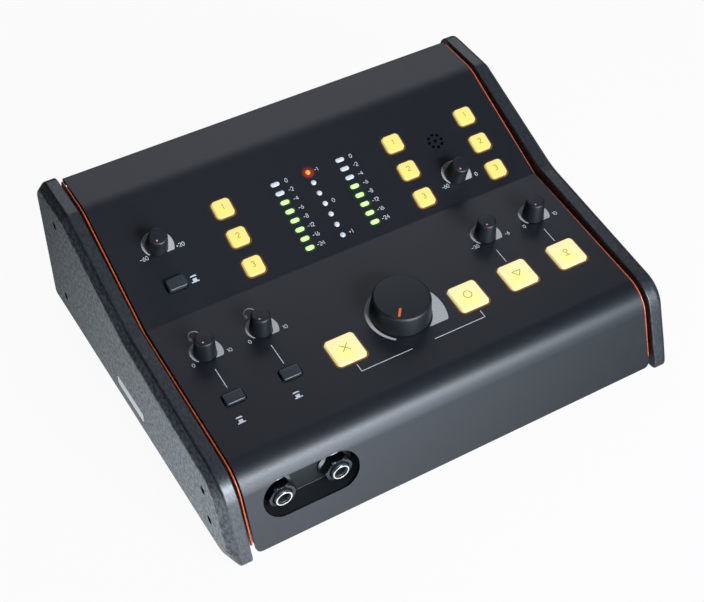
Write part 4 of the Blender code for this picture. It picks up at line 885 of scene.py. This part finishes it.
def cap_surface(half, corner, proud, ease, crown):
    """A cap: a rounded rectangle carried up through an eased rim to a slightly crowned face.

    Under the panel it widens to a lip, and a round stem reaches down to the switch.
    """
    lip, lip_top, lip_foot, stem, foot = 0.7, -1.8, -3.0, 2.0, -7.5
    outline, skirt, middle = pill(*half, corner), pill(*half, corner, lip), np.zeros((1, 2))
    round_stem = stem * unit(outline)
    rings = [(middle, foot), (round_stem, foot), (round_stem, lip_foot), (skirt, lip_foot), (skirt, lip_top),
             (outline, lip_top), (outline, proud - ease)]
    for turn in np.linspace(0, pi / 2, 6)[1:]:
        rings.append((pill(*half, corner, -ease * (1 - cos(turn))), proud - crown - ease + ease * sin(turn)))
    face = pill(*half, corner, -ease)
    rings += [(face * share, proud - crown * share ** 2) for share in (0.85, 0.6, 0.3)]
    return face_map(stack([*rings, (middle, proud)]), half)


def glow_band(half, corner, gap, reach):
    """A band lying on the panel round a hole: outlines grown step by step, with v running outwards.

    u is 1 at the lower edge and 0 at the upper one, since the light leaves the cap's lower side.
    """
    shares = np.linspace(0, 1, 7)
    outlines = [pill(*half, corner, gap + 0.25 + reach * share) for share in shares]
    top = stack([(outline, 0.025 - 0.02 * share) for outline, share in zip(outlines, shares)])
    bottom = stack([(outline, -0.03) for outline in outlines[::-1]])
    grid = np.concatenate([top, bottom, top[:1]])
    v = np.concatenate([shares, shares[::-1], shares[:1]])[:, None]
    low = 0.5 - 0.5 * grid[..., 1] / (half[1] + gap + reach)
    return grid, np.stack(np.broadcast_arrays(low, v), -1)


def build_lit_buttons():
    """Square caps lit from inside, their plain legends, and the light that spills onto the panel."""
    bands = []
    for half, lit, skin in ((SMALL_CAP, LIT_SMALL, "lit_small_acrylic"),
                            (LARGE_CAP, LIT_LARGE, "lit_large_acrylic")):
        cap, band = cap_surface(half, CAP_CORNER, 1.3, 0.5, 0.12), glow_band(half, CAP_CORNER, CAP_GAP, 0.8)
        for name, *place in lit:
            legend = [on_slope(*place, part) for part in legend_parts(name)]
            make(f"{name}_lens", [laid(cap, *place)], skin, [name], f"{name}_cap")
            make(f"{name}_legend", legend, "legend_ink", body=f"{name}_cap")
            bands.append(laid(band, *place))
    make("button_light_spill", bands, "coat_under_yellow_light")


def legend_parts(name):
    """A plain number for a numbered button, or a plain sign for the four large ones."""
    if name[-1].isdigit():
        return [part + (0.0, 0.6, 0.0) for part in number_parts(name[-1], 3.0, LEGEND_PEN, 1.22, 1.31)]
    signs = {
        "mute_button": [[(-2.2, -1.6), (2.2, 2.8)], [(-2.2, 2.8), (2.2, -1.6)]],
        "mono_button": [arc((0, 0.6), (2.2, 2.2), 0, 360, 33)],
        "dim_button": [[(-2.6, 2.0), (0, -1.4), (2.6, 2.0), (-2.6, 2.0)]],
        "talk_button": [arc((0, 1.3), (1.1, 1.1), 0, 360, 25), [(0, 0.2), (0, -1.7)],
                        [(-1.5, -1.7), (1.5, -1.7)]],
    }
    parts = []
    for path in signs[name]:
        path = np.asarray(path, float)
        runs = [path] if len(path) > 4 else [np.linspace(*ends, 3) for ends in zip(path, path[1:])]
        parts += [part for run in runs for part in ribbon(run, LEGEND_PEN, 1.22, 1.33)]
    return parts


def build_push_buttons():
    """Black caps with a broad eased rim that catches the light."""
    cap = cap_surface(PUSH_CAP, PUSH_CORNER, 3.2, 0.6, 0.05)
    for name, *place in PUSHES:
        make(f"{name}_top", [laid(cap, *place)], "moulded_push_abs", [name], f"{name}_cap")


# Meters
def lens_surface(half, crown):
    """A lens: a pill-shaped outline rising to a low dome, with u and v across its face."""
    outline, middle, foot, rim = pill(*half, min(half)), np.zeros((1, 2)), -2.2, -0.1
    rings = [(middle, foot), (outline, foot), (outline, rim)]
    rings += [(outline * share, rim + crown * (1 - share ** 2)) for share in (0.94, 0.8, 0.6, 0.3)]
    return face_map(stack([*rings, (middle, rim + crown)]), half)


def build_meters():
    """Lamps of both bar meters and of the correlation meter, the light they spill, and their guides."""
    lamps = [("green" if row < lit else "clear", side, up, BAR_LAMP, 0.35, 0.9)
             for side, lit in ((-METER, 6), (METER, 5)) for row, up in enumerate(BAR_ROWS)]
    lamps += [("orange" if up == DOT_ROWS[-1] else "clear", 0, up, DOT_LAMP, 0.5, 2.2) for up in DOT_ROWS]
    lenses = {"green": [], "clear": [], "orange": []}
    spill = {"green": [], "orange": []}
    for colour, across, up, half, crown, reach in lamps:
        lenses[colour].append(laid(lens_surface(half, crown), UPPER, across, up))
        if colour in spill:
            spill[colour].append(laid(glow_band(half, min(half), LAMP_GAP, reach), UPPER, across, up))
    for colour, surfaces in lenses.items():
        make(f"{colour}_lamp_lenses", surfaces, f"{colour}_lens")
    make("green_light_spill", spill["green"], "coat_under_green_light")
    make("orange_light_spill", spill["orange"], "coat_under_red_light")
    for name, across, rows in (("left_meter", -METER, BAR_ROWS), ("right_meter", METER, BAR_ROWS),
                               ("correlation", 0, DOT_ROWS)):
        middle, half = (rows[0] + rows[-1]) / 2, (rows[-1] - rows[0]) / 2 + 3.3
        guide = on_slope(UPPER, across, middle, prism(pill(3.6, half, 0.5), -12.6, -1.9))
        make(f"{name}_lamp_block", [guide], "clear_lens", [f"{name}_light_guide"])


# Headphone sockets
def hexagon_nut(across_flats, low, high, ease, bore):
    """A chamfered nut, flat side up: at each height the radius is the lesser of the hexagon's and a cone's."""
    angle = np.linspace(0, 2 * pi, 97)
    flat = across_flats / 2 / np.cos((angle + pi / 6 + pi / 2) % (pi / 3) - pi / 6)
    corner = across_flats / 2 / cos(pi / 6)
    rings = []
    for height in (low, high - 3 * ease, high - 2 * ease, high - 1.2 * ease, high - 0.6 * ease, high):
        cone = corner + 0.2 - max(0.0, height - (high - 1.6 * ease)) * 1.05
        rings.append((np.minimum(flat, cone), height))
    rings += [(across_flats / 2 - 0.55, high), (bore + 0.5, high - 0.1), (bore, high - 0.5), (bore, low),
              rings[0]]
    ray = np.stack([np.cos(angle), np.sin(angle)])
    return stack([((ray * radius).T, height) for radius, height in rings])


def build_recess():
    """A level pocket behind the slot: its wall runs from the sloping sheet straight back to a flat floor."""
    run = unit(CORNERS[FRONT + 1] - CORNERS[FRONT])
    low, wall, floor = SLOT_HALF * run[1], 1.0, -8.0

    def ring(grown, depth=None):
        outline = pill(SLOT_HALF + SLOT_REACH, low, low, grown, 17)
        return raised(outline, -1.7 - outline[:, 1] * run[0] / run[1] if depth is None else depth)

    def point(depth):
        return np.tile((0.0, 0.0, depth), (len(ring(0.0)), 1))

    grid = np.stack([point(floor - wall), ring(wall, floor - wall), ring(wall), ring(0.0),
                     ring(0.0, floor + 0.15), ring(-0.15, floor), point(floor)])
    make("headphone_recess_cup", [on_level(SLOT_PLACE, grid)], "recess_paint", ["headphone_recess"])


def build_headphone_sockets():
    """The recess, and for each socket its flanged nut, stepped bush, bright ferrule and dark barrel."""
    build_recess()
    flange = turned([(5.0, -7.7), (8.5, -7.7), (8.5, -6.9), (6.9, -5.75), (5.0, -5.75), (5.0, -7.7)],
                    (0, 0.1, 0.3, 0.2, 0, 0), 5, 96)
    bush = turned([(0, -33.0), (4.95, -33.0), (4.95, -9.4), (4.75, -9.4), (4.75, -0.3), (4.45, 0.0), (3.6, 0.0),
                   (3.15, -0.6), (3.15, -30.0), (0, -30.0)], (0, 0, 0, 0, 0.1, 0.1, 0.1, 0.1, 0, 0), 3, 72)
    barrel = prism(pill(7.5, 7.5, 0.8) - (0.0, 2.5), -33.3, -9.4)
    ferrule = turned([(3.65, 0.02), (4.42, 0.02), (4.42, 0.8), (3.65, 0.8), (3.65, 0.02)],
                     (0, 0.05, 0.16, 0.12, 0), 8, 96)
    pieces = (
        ("flange", [flange], "black_nickel_bright", ""),
        ("nut", [hexagon_nut(14.0, -5.7, -0.9, 0.8, 5.0)], "black_nickel", "headphone_nut_"),
        ("body", [bush, barrel], "moulded_nylon", "headphone_socket_"),
        ("ferrule", [ferrule], "nickel_plate", ""),
    )
    for index, across in ((1, -OUTER), (2, -NEXT)):
        for kind, grids, skin, node in pieces:
            make(f"headphone_{index}_{kind}", [on_level(across, grid) for grid in grids], skin,
                 [f"{node}{index}"] if node else ())


# Rear and underside
XLR_PLACES = (-37.01, -7.64, 21.74, 51.11)
INPUT_ROW, OUTPUT_ROW = 62.77, 28.87
JACK_PLACES, JACK_ROWS = (-88.12, -70.50), (23.54, 44.87, 66.20)
INLET_PLACE, INLET_HEIGHT = 95.175, 31.19
ROCKER_PLACE, ROCKER_OUT, ROCKER_SLANT = (95.175, 52.811), 1.29, 16.0
CONTACTS = ((-3.45, 1.95), (3.45, 1.95), (0.0, -3.9))
BLADES = ((-7.0, -2.0), (7.0, -2.0), (0.0, 2.0))
REAR_SCREWS = ((-111.0, 14.0), (-111.0, 76.0), (112.2, 12.5), (111.0, 76.0), (0.0, 10.8), (0.0, 79.4))
FEET = (("left_front", -103.4, -72.04), ("right_front", 103.4, -72.04),
        ("left_rear", -103.4, 82.66), ("right_rear", 103.4, 82.66))


def build_rear_contacts():
    """Pins in the output sockets, contact rings in the input sockets, and the inlet's three blades."""
    pin = turned([(0, -10.8), (1.15, -10.8), (1.15, -2.0), (0, -1.8)], (0, 0, 0.8, 0), 6, 24)
    ring = turned([(0.95, -1.7), (1.7, -1.7), (1.7, -0.55), (0.95, -0.55), (0.95, -1.7)],
                  (0, 0, 0.2, 0.25, 0), 5, 32)
    blades = [prism(pill(1.0, 2.0, 0.4) + spot, -14.9, -3.4) for spot in BLADES]
    for name, row, grid in (("output_socket_pins", OUTPUT_ROW, pin),
                            ("input_socket_contacts", INPUT_ROW, ring)):
        contacts = [on_rear(x, row, grid + (*spot, 0.0)) for x in XLR_PLACES for spot in CONTACTS]
        make(name, contacts, "nickel_plate")
    make("inlet_blades", [on_rear(INLET_PLACE, INLET_HEIGHT, blade) for blade in blades], "nickel_plate")


def build_rear_fixings():
    """Latch tabs, jack rims and screw heads on the rear panel."""
    rises = ((0, 0.1), (0, 0.9), (-0.1, 1.1), (-0.3, 1.2))
    tab = stack([([(0, 0)], 0.1), *((pill(3.0, 1.15, 0.5, inset), height) for inset, height in rises),
                 ([(0, 0)], 1.2)])
    small, large = screw_head(1.7, -0.05, 1.0), screw_head(2.0, -0.05, 1.1)
    heads = [on_rear(x + side * 10.2, row + side * 10.6, small)
             for x in XLR_PLACES for row in (INPUT_ROW, OUTPUT_ROW) for side in (1, -1)]
    heads += [on_rear(x, row, large) for x, row in REAR_SCREWS]
    rim = turned([(3.4, 2.0), (5.25, 2.0), (5.25, 2.6), (3.4, 2.6), (3.4, 2.0)], (0, 0, 0.35, 0.25, 0), 6, 64)
    make("input_latch_tabs", [on_rear(x, INPUT_ROW + 10.7, tab) for x in XLR_PLACES], "zinc_plate")
    make("rear_screw_heads", heads, "black_oxide")
    make("jack_rims", [on_rear(x, row, rim) for x in JACK_PLACES for row in JACK_ROWS], "nickel_plate")


def build_rear_print():
    """Plain numbers over the sockets, and the switch's line and ring, which ride on its rocker."""
    places = [(index, x, row + 14.6) for index, x in enumerate(reversed(XLR_PLACES), 1)
              for row in (INPUT_ROW, OUTPUT_ROW)]
    jacks = [(x, row + 8.6) for x in reversed(JACK_PLACES) for row in reversed(JACK_ROWS)]
    places += [(index, *place) for index, place in enumerate(jacks, 1)]
    numbers = [on_rear(x, height, part) for index, x, height in places
               for part in number_parts(str(index), 2.4, REAR_PEN)]
    make("rear_print", numbers, "screen_print_ink")

    low, high, lean = -0.03, 0.04, radians(ROCKER_SLANT)
    marks = ribbon([(0.0, 1.7), (0.0, 3.1), (0.0, 4.5)], 0.6, ROCKER_OUT + low, ROCKER_OUT + high)
    for part in ribbon(arc((0, -2.9), (1.35, 1.35), 0, 360, 33), 0.5, low, high):
        x, y, z = np.moveaxis(part, -1, 0)
        y, z = 0.14 + y * cos(lean) + z * sin(lean), ROCKER_OUT - y * sin(lean) + z * cos(lean)
        marks.append(np.stack([x, y, z], -1))
    make("power_rocker_marks", [on_rear(*ROCKER_PLACE, part) for part in marks], "screen_print_ink",
         body="power_rocker_lever")


def build_feet():
    """Tapered rubber feet with an eased sole and a sunk middle for the screw: turned profiles."""
    foot = turned([(0, 6.5), (7.0, 6.5), (6.9, 5.2), (6.1, 0.0), (3.2, 0.0), (2.6, 3.2), (0, 3.2)],
                  (0, 0.1, 0.5, 1.0, 0.4, 0.4, 0), 6, 72)
    for name, x, y in FEET:
        make(f"{name}_rubber_foot", [foot + (x, y, 0.0)], "moulded_rubber", [f"{name}_foot"])


# Stage
def pale_floor():
    """White paper: it shows white to the camera but for a faint shadow, and coats mirror it.

    The paper is brighter towards the front left, where the photograph's cheek and front are brightest,
    so the strength that mirror rays meet is a slope across the floor, held between two ends.
    """
    made, tree, output = start_material("pale_floor")
    ray = add(tree, "LightPath")
    place = add(tree, "TexCoord")
    lean = add(tree, "VectorMath", {0: place.outputs["Object"], 1: (-6.0, -6.0, 0.0)}, operation="DOT_PRODUCT")
    slope = add(tree, "MapRange", {"Value": lean.outputs["Value"], "From Min": -0.2, "From Max": 1.8,
                                   "To Min": 0.26, "To Max": 2.3})
    seen = add(tree, "Math", {0: ray.outputs["Is Glossy Ray"], 1: slope.outputs["Result"],
                              2: ray.outputs["Is Camera Ray"]}, operation="MULTIPLY_ADD")
    tint = add(tree, "MixRGB", {"Fac": ray.outputs["Is Glossy Ray"], "Color1": linear("#fdfcfd"),
                                "Color2": linear("#e8f3fb")})
    bright = add(tree, "Emission", {"Color": tint.outputs["Color"], "Strength": seen.outputs["Value"]})
    paper = add(tree, "BsdfDiffuse", {"Color": linear("#f4f4f5")})
    share = add(tree, "Math", {0: ray.outputs["Is Camera Ray"], 1: 0.97, 2: ray.outputs["Is Glossy Ray"]},
                operation="MULTIPLY_ADD")
    mixed = add(tree, "MixShader", {
        0: share.outputs["Value"], 1: paper.outputs["BSDF"], 2: bright.outputs["Emission"],
    })
    tree.links.new(mixed.outputs["Shader"], output.inputs["Surface"])
    return made


# Each lamp's name, place, aim and size in metres, watts and colour
LAMPS = (
    ("front_upper", (0.10, -1.10, 0.75), (0.10, 0, 0.75), (0.40, 0.30), 17.0, "#e8f3ff"),
    ("front_upper_right", (0.50, -1.10, 0.75), (0.50, 0, 0.75), (0.40, 0.30), 9.3, "#e8f3ff"),
    ("front_middle", (0.25, -1.10, 0.45), (0.25, 0, 0.45), (0.80, 0.30), 6.0, "#e8f3ff"),
    ("front_low", (0.10, -1.10, 0.15), (0.10, 0, 0.15), (0.40, 0.30), 6.0, "#e8f3ff"),
    ("back_softbox", (0.45, 1.00, 0.95), (0, 0, 0.04), (1.20, 0.80), 4.6, "#eef4ff"),
    ("overhead", (0.20, 0.00, 1.60), (0, 0, 0.04), (1.00, 1.00), 0.9, "#eef4ff"),
)

# The camera fitted to the photograph: lengths in pixels, the sensor's width in millimetres, the place in
# metres and the roll in degrees
PICTURE_WIDTH, FOCAL_LENGTH, SENSOR = 704, 1497.33, 36.0
CAMERA_PLACE, CAMERA_AIM, CAMERA_ROLL = (-0.28794, -0.48238, 0.59904), (0.35555, 0.60123, -0.71562), 0.096


def build_stage():
    """Pale floor, soft lights and the camera at the photograph's angle."""
    half = 3000.0
    floor = mesh_of("floor", [half * np.array([[(-1, -1, 0), (1, -1, 0)], [(-1, 1, 0), (1, 1, 0)]])])
    ground = bpy.data.objects.new("floor", floor)
    bpy.context.scene.collection.objects.link(ground)
    floor.materials.append(pale_floor())

    world = bpy.data.worlds.new("dim_room")
    bpy.context.scene.world = world
    world.use_nodes = True
    room = world.node_tree
    sky = next(node for node in room.nodes if node.type == "BACKGROUND")
    # The room looks as pale as the paper, but lights the object only a little
    ray = add(room, "LightPath")
    tint = add(room, "MixRGB", {"Fac": ray.outputs["Is Camera Ray"], "Color1": linear("#4c5058"),
                                "Color2": linear("#fbfafb")})
    power = add(room, "Math", {0: ray.outputs["Is Camera Ray"], 1: 0.9, 2: 0.1}, operation="MULTIPLY_ADD")
    room.links.new(tint.outputs["Color"], sky.inputs["Color"])
    room.links.new(power.outputs["Value"], sky.inputs["Strength"])

    for name, place, aim, size, watts, colour in LAMPS:
        lamp = bpy.data.lights.new(name, "AREA")
        lamp.shape, lamp.size, lamp.size_y = "RECTANGLE", *size
        lamp.energy = watts * settings().lamp_power
        lamp.color = linear(colour)[:3]
        light = bpy.data.objects.new(name, lamp)
        bpy.context.scene.collection.objects.link(light)
        light.location = place
        light.rotation_euler = (Vector(aim) - Vector(place)).to_track_quat("-Z", "Y").to_euler()

    lens = bpy.data.cameras.new("camera")
    lens.sensor_width, lens.lens = SENSOR, SENSOR * FOCAL_LENGTH / PICTURE_WIDTH
    lens.clip_start = 0.02
    camera = bpy.data.objects.new("camera", lens)
    bpy.context.scene.collection.objects.link(camera)
    forward = Vector(CAMERA_AIM).normalized()
    right = forward.cross(Vector((0, 0, 1))).normalized()
    up = right.cross(forward)
    roll = radians(CAMERA_ROLL)
    right, up = right * cos(roll) + up * sin(roll), up * cos(roll) - right * sin(roll)
    turn = Matrix((right, up, -forward)).transposed().to_4x4()
    camera.matrix_world = Matrix.Translation(CAMERA_PLACE) @ turn
    bpy.context.scene.camera = camera
    bpy.context.scene.view_settings.view_transform = "Standard"


CARRIED = {
    "chassis_tray": "painted_chassis", "rear_panel": "painted_chassis",
    "upper_control_board": "solder_mask", "lower_control_board": "solder_mask", "rear_board": "solder_mask",
    "mic_capsule": "black_felt", "xlr_input_bank": "moulded_nylon", "xlr_output_bank": "moulded_nylon",
    "jack_bank": "moulded_nylon", "power_inlet": "moulded_nylon", "power_rocker": "moulded_push_abs",
    **{f"{name}_shaft": "turned_steel" for name in (*(knob[0] for knob in SMALL_KNOBS), "main_level")},
}


def build_carried():
    """CAD pieces whose shape is right get their real finish."""
    for node, skin in CARRIED.items():
        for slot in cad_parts[node].material_slots:
            slot.material = finish(skin)


# Add-on
class ControllerSettings(bpy.types.PropertyGroup):
    """What may be set before the pieces are built."""
    cheek_grain: FloatProperty(
        name="Cheek Grain", description="Size of the grain on the moulded cheeks", default=1.0 * MM,
        min=0.3 * MM, max=5 * MM, unit="LENGTH", precision=4)
    coat_texture: FloatProperty(
        name="Coat Texture", description="Size of the texture in the panel's powder coat", default=0.9 * MM,
        min=0.3 * MM, max=5 * MM, unit="LENGTH", precision=4)
    glow: FloatProperty(
        name="Glow", description="Share of their full light that the lit caps give", default=1.0,
        min=0.0, max=1.0, subtype="FACTOR")
    lamp_power: FloatProperty(
        name="Lamp Power", description="Multiplies the power of every lamp on the stage", default=1.0,
        min=0.0, max=5.0, subtype="FACTOR")
    main_turn: FloatProperty(
        name="Main Knob Turn", description="Turn of the main knob's line, anticlockwise from the top",
        default=radians(POINTER_TURN), subtype="ANGLE")


class CONTROLLER_OT_stage(bpy.types.Operator):
    """Set up the floor, the lamps and the camera."""
    bl_idname = "controller.stage"
    bl_label = "Stage"

    def execute(self, context):
        build_stage()
        return {"FINISHED"}


class CONTROLLER_OT_panel(bpy.types.Operator):
    """Build the folded panel with its holes."""
    bl_idname = "controller.panel"
    bl_label = "Panel"

    def execute(self, context):
        build_panel()
        return {"FINISHED"}


class CONTROLLER_OT_cheeks(bpy.types.Operator):
    """Build the moulded side pieces and their screws."""
    bl_idname = "controller.cheeks"
    bl_label = "Cheeks"

    def execute(self, context):
        build_cheeks()
        return {"FINISHED"}


class CONTROLLER_OT_accents(bpy.types.Operator):
    """Build the painted plates between the panel and the cheeks."""
    bl_idname = "controller.accents"
    bl_label = "Orange Plates"

    def execute(self, context):
        build_accent_plates()
        return {"FINISHED"}


class CONTROLLER_OT_badges(bpy.types.Operator):
    """Build the blank plates let into the cheeks."""
    bl_idname = "controller.badges"
    bl_label = "Blank Plates"

    def execute(self, context):
        build_badges()
        return {"FINISHED"}


class CONTROLLER_OT_printing(bpy.types.Operator):
    """Print the sickles, lines, numbers and signs."""
    bl_idname = "controller.printing"
    bl_label = "Printing"

    def execute(self, context):
        build_print()
        return {"FINISHED"}


class CONTROLLER_OT_small_knobs(bpy.types.Operator):
    """Build the six small level knobs."""
    bl_idname = "controller.small_knobs"
    bl_label = "Small Knobs"

    def execute(self, context):
        build_small_knobs()
        return {"FINISHED"}


class CONTROLLER_OT_main_knob(bpy.types.Operator):
    """Build the main level knob."""
    bl_idname = "controller.main_knob"
    bl_label = "Main Knob"

    def execute(self, context):
        build_main_knob()
        return {"FINISHED"}


class CONTROLLER_OT_lit_buttons(bpy.types.Operator):
    """Build the thirteen lit caps and the light that they spill."""
    bl_idname = "controller.lit_buttons"
    bl_label = "Lit Buttons"

    def execute(self, context):
        build_lit_buttons()
        return {"FINISHED"}


class CONTROLLER_OT_push_buttons(bpy.types.Operator):
    """Build the three black caps."""
    bl_idname = "controller.push_buttons"
    bl_label = "Push Buttons"

    def execute(self, context):
        build_push_buttons()
        return {"FINISHED"}


class CONTROLLER_OT_meters(bpy.types.Operator):
    """Build the meters' lamps."""
    bl_idname = "controller.meters"
    bl_label = "Meters"

    def execute(self, context):
        build_meters()
        return {"FINISHED"}


class CONTROLLER_OT_headphones(bpy.types.Operator):
    """Build the recess, the nuts and the ferrules."""
    bl_idname = "controller.headphones"
    bl_label = "Headphone Sockets"

    def execute(self, context):
        build_headphone_sockets()
        return {"FINISHED"}


class CONTROLLER_OT_rear(bpy.types.Operator):
    """Build the contacts, fixings and numbers on the back."""
    bl_idname = "controller.rear"
    bl_label = "Rear Details"

    def execute(self, context):
        build_rear_contacts()
        build_rear_fixings()
        build_rear_print()
        return {"FINISHED"}


class CONTROLLER_OT_feet(bpy.types.Operator):
    """Build the rubber feet."""
    bl_idname = "controller.feet"
    bl_label = "Feet"

    def execute(self, context):
        build_feet()
        return {"FINISHED"}


class CONTROLLER_OT_carried(bpy.types.Operator):
    """Give the pieces that keep their CAD shape a real finish."""
    bl_idname = "controller.carried"
    bl_label = "Carried Pieces"

    def execute(self, context):
        build_carried()
        return {"FINISHED"}


STEPS = (
    CONTROLLER_OT_stage, CONTROLLER_OT_panel, CONTROLLER_OT_cheeks,
    CONTROLLER_OT_accents, CONTROLLER_OT_badges, CONTROLLER_OT_printing,
    CONTROLLER_OT_small_knobs, CONTROLLER_OT_main_knob, CONTROLLER_OT_lit_buttons,
    CONTROLLER_OT_push_buttons, CONTROLLER_OT_meters, CONTROLLER_OT_headphones,
    CONTROLLER_OT_rear, CONTROLLER_OT_feet, CONTROLLER_OT_carried,
)


class CONTROLLER_PT_sidebar(bpy.types.Panel):
    """The settings, and a button for every piece or group."""
    bl_label = "Studio Monitor Controller"
    bl_space_type = "VIEW_3D"
    bl_region_type = "UI"
    bl_category = "Controller"

    def draw(self, context):
        column = self.layout.column()
        for name in ControllerSettings.__annotations__:
            column.prop(settings(), name)
        for step in STEPS:
            column.operator(step.bl_idname)


CLASSES = (ControllerSettings, *STEPS, CONTROLLER_PT_sidebar)


def register():
    """Register every class and keep the settings with the scene."""
    for cls in CLASSES:
        bpy.utils.register_class(cls)
    bpy.types.Scene.controller = PointerProperty(type=ControllerSettings)


def unregister():
    """Undo what register did, in the opposite order."""
    del bpy.types.Scene.controller
    for cls in reversed(CLASSES):
        bpy.utils.unregister_class(cls)


def main():
    """Register the add-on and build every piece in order."""
    register()
    for step in STEPS:
        getattr(bpy.ops.controller, step.bl_idname.split(".")[1])()


if __name__ == "__main__":
    main()
